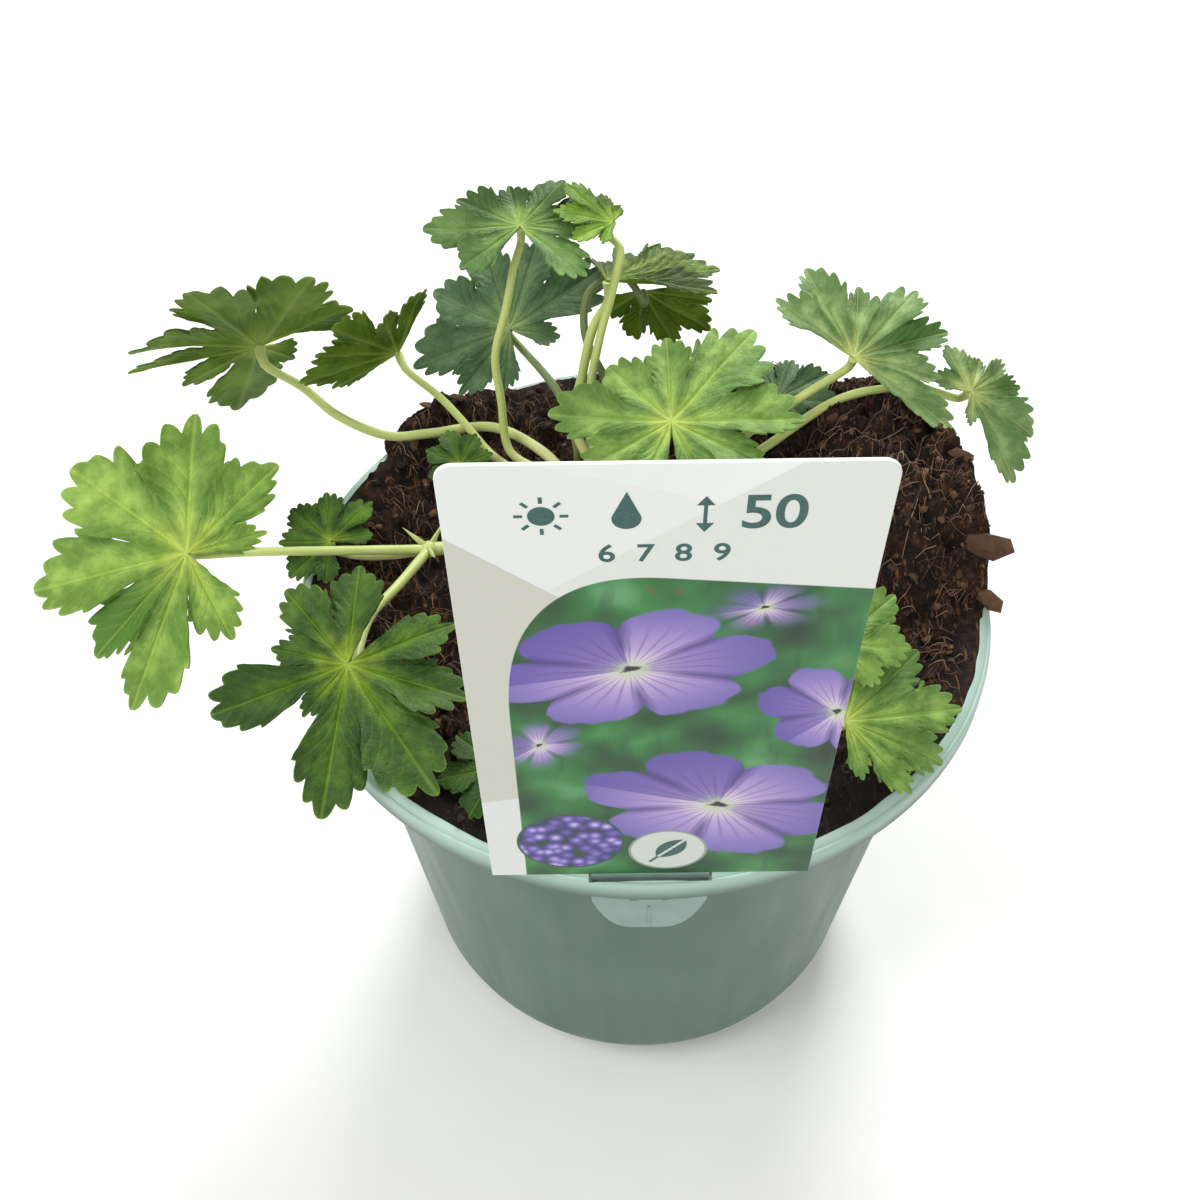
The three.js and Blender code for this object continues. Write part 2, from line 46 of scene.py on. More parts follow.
def linear(hexColour):  # "#rrggbb" in sRGB to the linear colour that nodes want
    values = [int(hexColour[i:i + 2], 16) / 255 for i in (1, 3, 5)]
    turned = [v / 12.92 if v <= 0.04045 else ((v + 0.055) / 1.055) ** 2.4 for v in values]
    return (*turned, 1.0)


def setSockets(node, values):  # links a socket, and sets "#rrggbb" as a colour and the rest as it is
    for name, value in values.items():
        if isinstance(value, bpy.types.NodeSocket):
            node.id_data.links.new(value, node.inputs[name])
        else:
            node.inputs[name].default_value = linear(value) if isinstance(value, str) else value


# Given are a node's inputs, in order or by name, and stops are a ramp's places and colours.
def addNode(tree, kind, *given, out=0, stops=(), **settings):
    node = tree.nodes.new("ShaderNode" + kind)
    for name, value in settings.items():
        setattr(node, name, value)
    for number, value in enumerate(given):
        setSockets(node, value if isinstance(value, dict) else {number: value})
    if stops:  # a ramp starts with two
        elements = node.color_ramp.elements
        for _ in stops[2:]:
            elements.new(0.5)
        for element, (place, colour) in zip(elements, stops):
            element.position = place
            element.color = linear(colour)
    return node.outputs[out]


def newMaterial(name):  # the material, what adds a node to it, and its shader
    material = bpy.data.materials.new(name)
    material.use_nodes = True
    return material, partial(addNode, material.node_tree), material.node_tree.nodes["Principled BSDF"]


def evenMaterial(name, patch, detail, dark, light, roughness):  # two close shades, with patch in mm
    material, add, shader = newMaterial(name)
    place = add("TexCoord", out="Object")
    patches = add("TexNoise", {"Vector": place, "Scale": 1000 / patch, "Detail": detail})
    tone = add("ValToRGB", patches, stops=((0.3, dark), (0.7, light)))
    setSockets(shader, {"Base Color": tone, "Roughness": roughness})
    return material


def newObject(name, data):
    made = bpy.data.objects.new(name, data)
    bpy.context.scene.collection.objects.link(made)
    return made


def finalMesh(holder, *tools):  # what a curve, text or modifiers come to, with the objects taken away
    depsgraph = bpy.context.evaluated_depsgraph_get()
    mesh = bpy.data.meshes.new_from_object(holder.evaluated_get(depsgraph))
    for thing in (holder, *tools):
        bpy.data.objects.remove(thing)
    return mesh


def chance(seed, step):  # repeatable noise in 0..1
    value = math.sin(seed * 127.1 + step * 311.7) * 43758.5453
    return value - math.floor(value)


def smoothStep(value, low, high):
    x = min(1.0, max(0.0, (value - low) / (high - low)))
    return x * x * (3 - 2 * x)


def finishPiece(mesh, name, materials, replaced=()):
    piece = newObject(name, mesh)
    for material in materials:
        mesh.materials.append(material)
    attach(piece, "root")
    if replaced:
        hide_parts(*replaced)
    return piece


def pieceTitle(name, kind):  # "far_left" and "Leaf" make farLeftLeaf
    first, *rest = name.split("_")
    return first + "".join(word.title() for word in rest) + kind


def meshOf(bm, name, smooth=True):
    mesh = bpy.data.meshes.new(name)
    for face in bm.faces:
        face.smooth = smooth
    bm.to_mesh(mesh)
    bm.free()
    return mesh


def turnedMesh(bm, outline, segments):  # outline of (radius, height) in mm, spun about Z
    verts = [bm.verts.new((r * mm, 0, z * mm)) for r, z in outline]
    edges = [bm.edges.new(pair) for pair in zip(verts, verts[1:])]
    bmesh.ops.spin(bm, geom=verts + edges, cent=(0, 0, 0), axis=(0, 0, 1), angle=2 * math.pi,
                   steps=segments, use_merge=True)
    bmesh.ops.remove_doubles(bm, verts=bm.verts, dist=1e-6)
    bmesh.ops.recalc_face_normals(bm, faces=bm.faces)


def cutWith(mesh, cutters, name):  # a mesh less some closed meshes, by exact booleans
    body = newObject(name, mesh)
    tools = [newObject(name + "Cutter", cutter) for cutter in cutters]
    for tool in tools:
        modifier = body.modifiers.new("cut", "BOOLEAN")
        modifier.operation = "DIFFERENCE"
        modifier.solver = "EXACT"
        modifier.object = tool
    return finalMesh(body, *tools)


view = {
    "place": (-11.19, -240.84, 405.52),  # mm
    "elevation": 47.9,  # degrees above level
    "roll": -0.775,
    "lens": 40.5,
    "sensor": 36,
}


def placeCamera():
    data = bpy.data.cameras.new("camera")
    data.lens = view["lens"]
    data.sensor_width = view["sensor"]
    data.sensor_fit = "HORIZONTAL"
    data.clip_start = 0.01
    camera = newObject("camera", data)
    turn = Matrix.Rotation(math.radians(90 - view["elevation"]), 4, "X")
    roll = Matrix.Rotation(math.radians(view["roll"]), 4, "Z")
    camera.matrix_world = Matrix.Translation(Vector(view["place"]) * mm) @ turn @ roll
    bpy.context.scene.camera = camera


studio = {
    "floor": "#f4f4f2",
    "sky": "#ffffff",
    "skyStrength": 0.55,
    "aim": (0, 0, 0.14),  # where the lamps point, in metres
    "lamps": [  # place in metres, size in metres, watts
        ((0.2, 0.85, 0.9), 0.6, 12.0),
        ((-0.75, -0.3, 0.95), 0.7, 6.0),
        ((0.35, -0.9, 0.75), 0.9, 3.0),
    ],
}


def makeStudio():
    bm = bmesh.new()
    bmesh.ops.create_grid(bm, x_segments=1, y_segments=1, size=4.0)
    floor = newObject("floor", meshOf(bm, "floor"))
    # An even, pale, matte board, so that shadows are soft and nothing shines.
    floor.data.materials.append(evenMaterial("matteStudioFloor", 25, 2.0, "#f2f2f0", studio["floor"], 0.9))

    world = bpy.data.worlds.new("studio")
    bpy.context.scene.world = world
    world.use_nodes = True
    sky = world.node_tree.nodes["Background"]
    setSockets(sky, {"Color": studio["sky"], "Strength": studio["skyStrength"]})
    for number, (place, size, watts) in enumerate(studio["lamps"]):
        data = bpy.data.lights.new(f"lamp{number}", "AREA")
        data.shape = "DISK"
        data.size = size
        data.energy = watts
        aim = (Vector(studio["aim"]) - Vector(place)).to_track_quat("-Z", "Y")
        lamp = newObject(f"lamp{number}", data)
        lamp.matrix_world = Matrix.Translation(place) @ aim.to_matrix().to_4x4()
    bpy.context.scene.view_settings.view_transform = "Standard"


placeCamera()
makeStudio()
print("stage: camera and studio")


pot = {  # in mm
    "height": 146,
    "rim": 90,
    "skirt": 7,
    "wallTop": 80,
    "wallFoot": 68,
    "footRound": 18,
    "wall": 1.7,
    "boss": 15,
    "recess": 2,
    "drainCircle": 30,
    "drainRadius": 4.5,
    "drainHoles": 6,
    "segments": 160,
    "slot": (27, 2.4, 16),  # the space in the rim for the label's tongue
    "crisp": 50,  # degrees, edges sharper than this stay sharp
    "flare": (  # inside, heights from and to, and how far out
        (136, 139.6, 0.9), (139.6, 142.6, 2.3), (142.6, 146, 5),
    ),
}


def footArc(radius, steps=9):
    centre = pot["wallFoot"] - pot["footRound"]
    for step in range(steps + 1):
        turn = math.radians(90 * step / steps)
        yield centre + radius * math.sin(turn), pot["footRound"] - radius * math.cos(turn)


def innerRadius(height):  # radius of the pot's inner face
    share = (height - pot["footRound"]) / (pot["height"] - 11 - pot["footRound"])
    radius = pot["wallFoot"] + (pot["wallTop"] - pot["wallFoot"]) * min(1.0, max(0.0, share)) - pot["wall"]
    for low, high, out in pot["flare"]:
        radius += out * min(1.0, max(0.0, (height - low) / (high - low)))
    return radius


def potOutline():
    top, foot, boss = pot["height"], pot["wallFoot"] - pot["footRound"], pot["boss"]
    wall, recess, skirt = pot["wall"], pot["recess"], pot["skirt"]
    outline = [(0, wall), (boss - 2, wall), (boss + 1, wall + recess), (foot - 7, wall + recess),
               (foot - 4, wall)]
    outline += footArc(pot["footRound"] - wall)
    for out, down in (  # the flare inside
        (0, 10.4), (0.25, 8.6), (0.9, 6.6), (1.9, 4.8), (3.2, 3.4), (4.7, 2.3), (6.2, 1.4), (7.2, 0.8),
    ):
        outline.append((pot["wallTop"] - wall + out, top - down))
    for inward, down in (  # the rolled rim, its groove, and its skirt
        (4, 0.5), (3.7, 0.15), (3.2, 0), (2.6, 0.12), (1.8, 0.5), (1.25, 0.95), (1.1, 1.15), (0.9, 1.05),
        (0.55, 1.1), (0.2, 1.45), (0.03, 2.1), (0, 3), (0, skirt - 0.5), (0.2, skirt - 0.1), (0.6, skirt),
        (1.1, skirt - 0.1), (1.4, skirt - 0.6), (1.4, 3.2), (1.8, 2.6), (2.6, 2.3), (4, 2.3),
        (4.8, 2.5), (6, 3.2), (7.3, 4.5), (8.4, 6), (9.2, 7.7), (9.7, 9.3), (10, 11),
    ):
        outline.append((pot["rim"] - inward, top - down))
    outline += reversed(list(footArc(pot["footRound"])))
    outline += [(foot - 3.6, 0), (foot - 4.1, 0.3), (foot - 6, recess), (boss + 2, recess),
                (boss + 0.3, 0.3), (boss, 0), (0, 0)]
    return outline


def potMaterial():
    # Injection-moulded polypropylene with a satin skin: soft, wide highlights, faint flow marks, and a
    # painted highlight that makes the rim paler than the wall.
    material, add, shader = newMaterial("mouldedPolypropyleneSage")
    place = add("TexCoord", out="Object")
    drift = add("TexNoise", {"Vector": place, "Scale": 1000 / 38.5, "Detail": 3.0})  # shades 38 mm apart
    body = add("ValToRGB", drift, stops=((0.3, "#546b5f"), (0.7, "#5b7267")))
    # Painted highlight: the rim is painted paler than the wall below it, for the light its top catches.
    rim = add("MapRange", add("SeparateXYZ", place, out="Z"), 0.1385, 0.1455, **eased)
    flow = add("Mapping", {"Vector": place, "Scale": (1.0, 1.0, 0.12)})
    marks = add("TexNoise", {"Vector": flow, "Scale": 1000 / 7.7, "Detail": 4.0})  # they run up the wall
    # The moulded grain is really 0.1 mm, too fine to show, so it is drawn coarser.
    grain = add("TexNoise", {"Vector": place, "Scale": 1000 / 0.455, "Detail": 1.0})
    setSockets(shader, {
        "Base Color": add("Mix", {"Factor": rim, "A": body, "B": "#abc6b9"}, **ofColours),
        "Roughness": add("MapRange", marks, 0.2, 0.8, 0.36, 0.48, **eased),
        "Specular IOR Level": 0.25,
        "Normal": add("Bump", {"Strength": 0.06, "Distance": 0.1 * mm, "Height": grain}),
    })
    return material


def drainCutter(hole):
    turn = 2 * math.pi * hole / pot["drainHoles"]
    place = Vector((math.cos(turn), math.sin(turn), 0)) * pot["drainCircle"] * mm
    radius = pot["drainRadius"] * mm
    bm = bmesh.new()
    bmesh.ops.create_cone(bm, cap_ends=True, segments=32, radius1=radius, radius2=radius, depth=12 * mm,
                          matrix=Matrix.Translation(place))
    return meshOf(bm, "drain")


def slotCutter():
    bm = bmesh.new()
    bmesh.ops.create_cube(bm, size=1.0)
    bmesh.ops.scale(bm, vec=Vector(pot["slot"]) * mm, verts=bm.verts)
    bmesh.ops.rotate(bm, matrix=Matrix.Rotation(math.radians(label["lean"]), 3, "X"), verts=bm.verts)
    place = Vector((label["x"], label["y"] - 0.4, pot["height"])) * mm
    bmesh.ops.translate(bm, vec=place, verts=bm.verts)
    return meshOf(bm, "slot")


def makePot():
    bm = bmesh.new()
    turnedMesh(bm, potOutline(), pot["segments"])
    cutters = [*(drainCutter(hole) for hole in range(pot["drainHoles"])), slotCutter()]
    mesh = cutWith(meshOf(bm, "potShell"), cutters, "potShell")
    bm = bmesh.new()
    bm.from_mesh(mesh)
    for edge in bm.edges:
        if len(edge.link_faces) == 2 and edge.calc_face_angle() > math.radians(pot["crisp"]):
            edge.smooth = False
    finishPiece(meshOf(bm, "nurseryPot"), "nurseryPot", [potMaterial()], ["pot"])


label = {  # in mm and degrees
    "width": 69,
    "length": 127,
    "thickness": 0.8,
    "corner": 3,
    "lean": 3.3,
    "x": -1,
    "y": -87,
    "foot": 146.4,  # height of the label's lower edge
    "tongue": (26, 15, 27, 13),  # width, foot width, length, how far down it starts to narrow
    "catch": (3.4, -10.5, 2.6, 1.9),  # the middle's x and y, outer and inner radius
    "rib": (-0.25, 0.25, -25.5, -16),  # left, right, low and high
}


def labelPlace():
    turn = Matrix.Rotation(math.radians(90 + label["lean"]), 4, "X")
    return Matrix.Translation(Vector((label["x"], label["y"], label["foot"])) * mm) @ turn


def plate(bm, outline, depth, lift=0.0):  # a flat plate, all in mm, lift above the label's middle
    verts = [bm.verts.new((x * mm, y * mm, (lift - depth / 2) * mm)) for x, y in outline]
    face = bm.faces.new(verts)
    if face.normal.z < 0:
        face.normal_flip()
    raised = bmesh.ops.extrude_face_region(bm, geom=[face])
    top = [v for v in raised["geom"] if isinstance(v, bmesh.types.BMVert)]
    bmesh.ops.translate(bm, vec=(0, 0, depth * mm), verts=top)


def softenEdges(bm, width):
    bmesh.ops.bevel(bm, geom=list(bm.edges), offset=width * mm, offset_type="OFFSET", segments=2,
                    profile=0.5, affect="EDGES", material=-1)


def rectangle(left, right, low, high):
    return [(left, low), (right, low), (right, high), (left, high)]


def roundOutline(radius, centre=(0, 0), steps=28, start=0, stop=360):
    for step in range(steps + (stop - start < 360)):
        turn = math.radians(start + (stop - start) * step / steps)
        yield centre[0] + radius * math.cos(turn), centre[1] + radius * math.sin(turn)


def labelOutline():
    side, top, corner = label["width"] / 2, label["length"], label["corner"]
    outline = [(-side, 0), (side, 0)]
    outline += list(roundOutline(corner, (side - corner, top - corner), 8, 0, 90))
    outline += list(roundOutline(corner, (corner - side, top - corner), 8, 90, 180))
    return outline


def tongueOutline():
    wide, foot, length, shoulder = label["tongue"]
    start, middle, end = ((wide / 2, -shoulder), (foot / 2 + 2, -length), (foot / 2 - 4, -length))
    side = [(wide / 2, 0)]
    for step in range(7):  # a curve from the shoulder to the foot
        share = step / 6
        side.append([(1 - share) ** 2 * a + 2 * share * (1 - share) * b + share ** 2 * c
                     for a, b, c in zip(start, middle, end)])
    return [(-x, y) for x, y in side] + side[::-1]


def blossomGroup(petals=6):
    # One printed blossom laid over the colour below it: petals in a ring, streaked, round a pale eye.
    # It is drawn on a plane where its petals are 1 long.
    group = bpy.data.node_groups.new("printedBlossom", "ShaderNodeTree")
    add = partial(addNode, group)
    for name, kind in (("Place", "Vector"), ("Centre", "Vector"), ("Turn", "Vector"), ("Size", "Vector"),
                       ("Soft", "Float"), ("Below", "Color")):
        group.interface.new_socket(name=name, in_out="INPUT", socket_type="NodeSocket" + kind)
    group.interface.new_socket(name="Color", in_out="OUTPUT", socket_type="NodeSocketColor")
    given = group.nodes.new("NodeGroupInput").outputs
    local = add("Mapping", given["Place"], given["Centre"], given["Turn"], given["Size"],
                vector_type="TEXTURE")
    x, y = (add("SeparateXYZ", local, out=axis) for axis in "XY")
    ripple = add("TexNoise", {"Vector": local, "Scale": 2.2, "Detail": 2.0})
    ripple = add("Math", ripple, 0.3, -0.15, operation="MULTIPLY_ADD")
    radius = add("VectorMath", local, out="Value", operation="LENGTH")
    turn = add("Math", ripple, 0.5, add("Math", y, x, operation="ARCTAN2"), operation="MULTIPLY_ADD")
    step = math.pi / petals
    across = add("Math", add("Math", turn, step, operation="PINGPONG"), step, operation="DIVIDE")
    number = add("Math", add("Math", turn, 0.5 / step, 0.5, operation="MULTIPLY_ADD"), operation="FLOOR")
    petal = add("TexWhiteNoise", {"W": number}, out="Value", noise_dimensions="1D")

    gap = add("Math", add("MapRange", across, 0.72, 1.0, 0.0, 0.75, **eased),
              add("MapRange", radius, 0.12, 0.5, **eased), operation="MULTIPLY")
    streak = add("Math", add("Math", turn, step / 5, operation="PINGPONG"), step / 5, operation="DIVIDE")
    streaks = add("Math", add("MapRange", streak, 0.4, 0.0, 0.0, 0.55, **eased),
                  add("MapRange", radius, 0.85, 0.3, **eased), operation="MULTIPLY")
    ring = add("TexNoise", {"Vector": local, "Scale": 9.0, "Detail": 2.0})
    ring = add("Math", ring, 0.2, radius, operation="MULTIPLY_ADD")
    colour = add("ValToRGB", radius, stops=(
        (0.0, "#d9dccf"), (0.16, "#d6cbd9"), (0.34, "#b9a0d2"), (0.7, "#8d7cbf"), (1.0, "#6f60ab")))
    for share, tone in (
        (add("MapRange", petal, 0.0, 1.0, 0.0, 0.75, **eased), "#54429c"),  # each petal's own depth
        (gap, "#3a2c74"),
        (streaks, "#4f3789"),
        (add("MapRange", ring, 0.3, 0.16, 0.0, 0.7, **eased), "#c3cfa6"),
        (add("MapRange", ring, 0.18, 0.13, **eased), "#2b1d33"),
    ):
        colour = add("Mix", {"Factor": share, "A": colour, "B": tone}, **ofColours)

    edge = add("Math", add("Math", across, 3.0, operation="POWER"), -0.3, 1.0, operation="MULTIPLY_ADD")
    inside = add("Math", add("Math", edge, ripple, operation="ADD"), radius, operation="SUBTRACT")
    mask = add("MapRange", inside, 0.0, given["Soft"], **eased)
    colour = add("Mix", {"Factor": mask, "A": given["Below"], "B": colour}, **ofColours)
    setSockets(group.nodes.new("NodeGroupOutput"), {"Color": colour})
    return group


sheetPrint = {  # all in mm on the sheet, from the middle of its lower edge
    "window": (2, 29, 56, 45),  # the picture's rounded corner: centre x, half width, centre y, half height
    "facets": [  # slope, start and colour of each slanting facet, which lies below its line
        (-0.3, 121, "#e3e6e2"), (0.75, 112, "#dcdfd9"), (-0.85, 82, "#c9cabd"), (0.2, 38, "#dcdfda"),
    ],
    "blossoms": [  # centre, half width, half height, turn in degrees, softness
        ((17, 93), 12, 8, 10, 0.9), ((-22, 52), 11, 9, 40, 0.7),
        ((-5, 76), 26, 17, 12, 0.04), ((33, 62), 13, 17, 50, 0.05), ((13, 29), 28, 20, -18, 0.04),
    ],
    "inset": ((-17, 14.5), 11.5),
    "badge": ((3.5, 10.5), 8.5),
}


def disc(add, place, centre, radius, soft=0.25):  # 1 inside a printed disc
    apart = add("VectorMath", place, (*centre, 0), out="Value", operation="DISTANCE")
    return add("MapRange", apart, radius, radius - soft, **eased)


def pictureColour(add, place):  # blurred foliage with blossoms over it; scales are 1 over a size in mm
    drift = add("TexNoise", {"Vector": place, "Scale": 1 / 14.3, "Detail": 1.5})
    colour = add("ValToRGB", drift, stops=(
        (0.3, "#0b2a13"), (0.44, "#195425"), (0.58, "#2f7a37"), (0.74, "#62a06a")))
    tilted = add("Mapping", {"Vector": place, "Rotation": (0, 0, 0.5), "Scale": (1, 0.25, 1)})
    blades = add("TexNoise", {"Vector": tilted, "Scale": 1 / 4.55, "Detail": 2.0})
    buds = add("TexNoise", {"Vector": place, "Scale": 1 / 6.25, "Detail": 2.0})
    for pattern, start, stop, most, tone in ((blades, 0.55, 0.7, 0.55, "#1d4a2b"),
                                             (buds, 0.66, 0.76, 0.6, "#7d3b33")):
        share = add("MapRange", pattern, start, stop, 0.0, most, **eased)
        colour = add("Mix", {"Factor": share, "A": colour, "B": tone}, **ofColours)
    group = blossomGroup()
    for centre, wide, high, turn, soft in sheetPrint["blossoms"]:
        colour = add("Group", {"Place": place, "Centre": (*centre, 0), "Turn": (0, 0, math.radians(turn)),
                               "Size": (wide, high, 1), "Soft": soft, "Below": colour}, node_tree=group)
    return colour


def windowShare(add, x, y):  # 1 inside the picture: rounded at its upper left, open to the right and below
    middleX, halfX, middleY, halfY = sheetPrint["window"]
    raised = add("Math", x, 0.1, y, operation="MULTIPLY_ADD")
    left = add("Math", add("Math", middleX, x, operation="SUBTRACT"), halfX, operation="DIVIDE")
    high = add("Math", add("Math", raised, middleY, operation="SUBTRACT"), halfY, operation="DIVIDE")
    outside = [add("Math", way, 0.0, operation="MAXIMUM") for way in (left, high)]
    bent = [add("Math", way, 2.6, operation="POWER") for way in outside]
    return add("MapRange", add("Math", *bent, operation="ADD"), 1.01, 0.99, **eased)


def sheetMaterial():
    # Offset-printed polypropylene sheet: a satin off-white ground, with a picture of violet blossoms.
    material, add, shader = newMaterial("printedPolypropyleneSheet")
    place = add("UVMap", uv_map="sheet")  # in mm
    x, y = (add("SeparateXYZ", place, out=axis) for axis in "XY")
    cast = add("TexNoise", {"Vector": place, "Scale": 1 / 33.3, "Detail": 1.0})
    cast = add("MapRange", cast, 0.3, 0.7, **eased)
    colour = add("Mix", {"Factor": cast, "A": "#ebeeeb", "B": "#e6e9e5"}, **ofColours)
    layers = []
    for slope, start, shade in sheetPrint["facets"]:
        line = add("Math", x, slope, start, operation="MULTIPLY_ADD")
        layers.append((add("Math", y, line, operation="LESS_THAN"), shade))
    layers.append((windowShare(add, x, y), pictureColour(add, place)))
    spots = add("TexVoronoi", {"Vector": place, "Scale": 1 / 2.78})  # small blooms, 3 mm apart
    bunch = add("ValToRGB", spots, stops=(
        (0.1, "#c3b6e0"), (0.4, "#6f5fb4"), (0.62, "#453a80"), (0.8, "#23402d")))
    for name, rim, fill in (("inset", "#2b4a44", bunch), ("badge", "#8d9a8e", "#cdd3ca")):
        centre, radius = sheetPrint[name]
        layers.append((disc(add, place, centre, radius), rim))
        layers.append((disc(add, place, centre, radius - 0.55), fill))
    for share, tone in layers:
        colour = add("Mix", {"Factor": share, "A": colour, "B": tone}, **ofColours)
    printed = add("Attribute", out="Fac", attribute_name="printed")
    body = add("TexCoord", out="Object")
    # The sheet's grain is really 0.1 mm, too fine to show, so it is drawn coarser.
    grain = add("TexNoise", {"Vector": body, "Scale": 1000 / 1.11, "Detail": 2.0})
    setSockets(shader, {
        "Base Color": add("Mix", {"Factor": printed, "A": "#e9ebe8", "B": colour}, **ofColours),
        "Roughness": 0.4,
        "Normal": add("Bump", {"Strength": 0.05, "Distance": 0.1 * mm, "Height": grain}),
    })
    return material


def labelMaterials():
    # The sheet is unprinted on the tongue: frosted and a little see-through, so it takes the pot's tint.
    frost = evenMaterial("frostedPolypropyleneTongue", 6.25, 3.0, "#809890", "#8ca49c", 0.35)
    # Dark teal ink: flat and even, and a shade glossier than the sheet.
    ink = evenMaterial("tealPrintingInk", 0.714, 1.0, "#27504a", "#31605a", 0.35)
    return sheetMaterial(), frost, ink


def makeSheet(paper):
    bm = bmesh.new()
    plate(bm, labelOutline(), label["thickness"])
    softenEdges(bm, 0.12)
    bmesh.ops.triangulate(bm, faces=[f for f in bm.faces if len(f.verts) > 4])
    sheet = bm.loops.layers.uv.new("sheet")
    printed = bm.faces.layers.float.new("printed")
    for face in bm.faces:
        face[printed] = float(face.normal.z > 0.9)
        for loop in face.loops:
            loop[sheet].uv = (loop.vert.co.x / mm, loop.vert.co.y / mm)
    bmesh.ops.transform(bm, matrix=labelPlace(), verts=bm.verts)
    finishPiece(meshOf(bm, "labelSheet", smooth=False), "labelSheet", [paper], ["plant_label"])


def makeTongue(frost):
    bm = bmesh.new()
    plate(bm, tongueOutline(), label["thickness"] * 0.9)
    softenEdges(bm, 0.1)
    x, y, *radii = label["catch"]
    for side in (-1, 1):  # two raised catches below the rim, and a rib down the middle
        outer, inner = (roundOutline(radius, (side * x, y), 10, 200, 340) for radius in radii)
        plate(bm, [*outer, *reversed(list(inner))], 0.4, 0.55)
    plate(bm, rectangle(*label["rib"]), 0.3, 0.45)
    bmesh.ops.transform(bm, matrix=labelPlace(), verts=bm.verts)
    finishPiece(meshOf(bm, "labelTongue", smooth=False), "labelTongue", [frost])


def makeInk(ink):
    bm = bmesh.new()
    for pictogram in (sunSign, dropSign, heightSign, leafSign):
        pictogram(bm)
    for text, size, centre in signs["numbers"]:
        addNumber(bm, text, size, centre)
    bmesh.ops.transform(bm, matrix=labelPlace(), verts=bm.verts)
    finishPiece(meshOf(bm, "labelInk", smooth=False), "labelInk", [ink])


signs = {  # printed care signs, all in mm on the sheet
    "ink": 0.02,  # how thick a printed layer is modelled
    "lift": 0.43,  # its middle, above the middle of the sheet
    "sun": (-19, 116, 2.1),
    "drop": (-6, 115.2, 2.3),
    "height": (6, 116, 8),
    "leaf": (3.5, 10.3, 5.4),
    "numbers": [("50", 8, (16.5, 116)), ("6  7  8  9", 4.4, (0, 107))],
}


def addSign(bm, outline):
    plate(bm, outline, signs["ink"], signs["lift"])


def sunSign(bm):
    x, y, radius = signs["sun"]
    addSign(bm, roundOutline(radius, (x, y), 24))
    for ray in range(8):
        turn = math.radians(45 * ray)
        out, side = Vector((math.cos(turn), math.sin(turn))), Vector((-math.sin(turn), math.cos(turn)))
        corners = [out * a * radius + side * b for a, b in rectangle(1.35, 2.0, -0.3, 0.3)]
        addSign(bm, [(x + c.x, y + c.y) for c in corners])


def dropSign(bm):
    x, y, radius = signs["drop"]
    addSign(bm, [(x, y + 2.6 * radius), *roundOutline(radius, (x, y), 20, 150, 390)])


def heightSign(bm):
    x, y, tall = signs["height"]
    for way in (-1, 1):
        tip = y + way * tall / 2
        arrow = [(x - 1.4, tip - way * 2), (x, tip), (x + 1.4, tip - way * 2)]
        addSign(bm, arrow[::-way])
    end = tall / 2 - 1.9
    addSign(bm, rectangle(x - 0.3, x + 0.3, y - end, y + end))


def leafSign(bm):  # a leaning leaf in two halves, on its stalk
    x, y, size = signs["leaf"]
    turn = Matrix.Rotation(math.radians(-38), 2)
    halves = [[(side * max(0.07, px), py + 0.2)
               for px, py in roundOutline(1.0, (-0.5, 0), 12, -58, 58)][::side] for side in (-1, 1)]
    for outline in (*halves, rectangle(-0.06, 0.06, -1.15, -0.62)):
        addSign(bm, [Vector((x, y)) + turn @ Vector(point) * size for point in outline])


def addNumber(bm, text, size, centre):
    curve = bpy.data.curves.new("number", "FONT")
    curve.body = text
    curve.size = size * mm * 1.3
    curve.align_x = "CENTER"
    curve.align_y = "CENTER"
    curve.offset = 0.02 * size * mm
    curve.extrude = signs["ink"] / 2 * mm
    mesh = finalMesh(newObject("numberText", curve))
    mesh.transform(Matrix.Translation(Vector((*centre, signs["lift"])) * mm))
    bm.from_mesh(mesh)
    bpy.data.meshes.remove(mesh)


makePot()
for make, finish in zip((makeSheet, makeTongue, makeInk), labelMaterials()):
    make(finish)
print("stage: pot and label")


soil = {  # in mm, and compass angles in degrees
    "level": 139,
    "slope": 0.075,
    "mound": (30, -11, 6),  # height, and from and to which angle it rises
    "shoulder": (0.2, -60, -35),  # a lower step before it: share of its height, from and to which angle
    "fade": (22, 38),  # the angle where it starts to fall off, and how slowly
    "moundReach": (30, 74),  # from and to which radius it rises
    "tuft": (12, 134, 13),  # height, angle and width
    "tuftReach": (70, 87),
    "bank": (66, 84, 0.4),  # from and to which radius it is banked up, and how far below the rim
    "behindLabel": (13, 21),  # it isn't banked up this near the label's middle, and is from here on
    "fallFrom": 78,
    "edge": 91,
    "overlap": 1.6,  # mm, how far the banked compost lies on the rim
    "brink": 85,  # the radius where its height tells whether it reaches over the rim
    "banked": (144.8, 145.5),  # from none to all, over these heights of the brink
    "spill": (146.4, 148.4),
    "ragged": ((5, 3.0), (14, 2.0)),  # its edge on the rim: scale and depth
    "sides": ((None, 85.2), (134, 77.4), (22, 65.6), (4.6, 48)),  # height and radius of each ring
    "spread": ((147, 89), (145.4, 86), (0, 83)),  # the brink's height, and how far out loose bits lie
    "cells": 230,  # squares across the modelled surface
    "clods": ((0.055, 2.4), (0.15, 2.2), (0.38, 1.4), (0.85, 0.8)),  # per mm, and height
    "heapClods": 0.9,  # how much rougher the heaps are
}


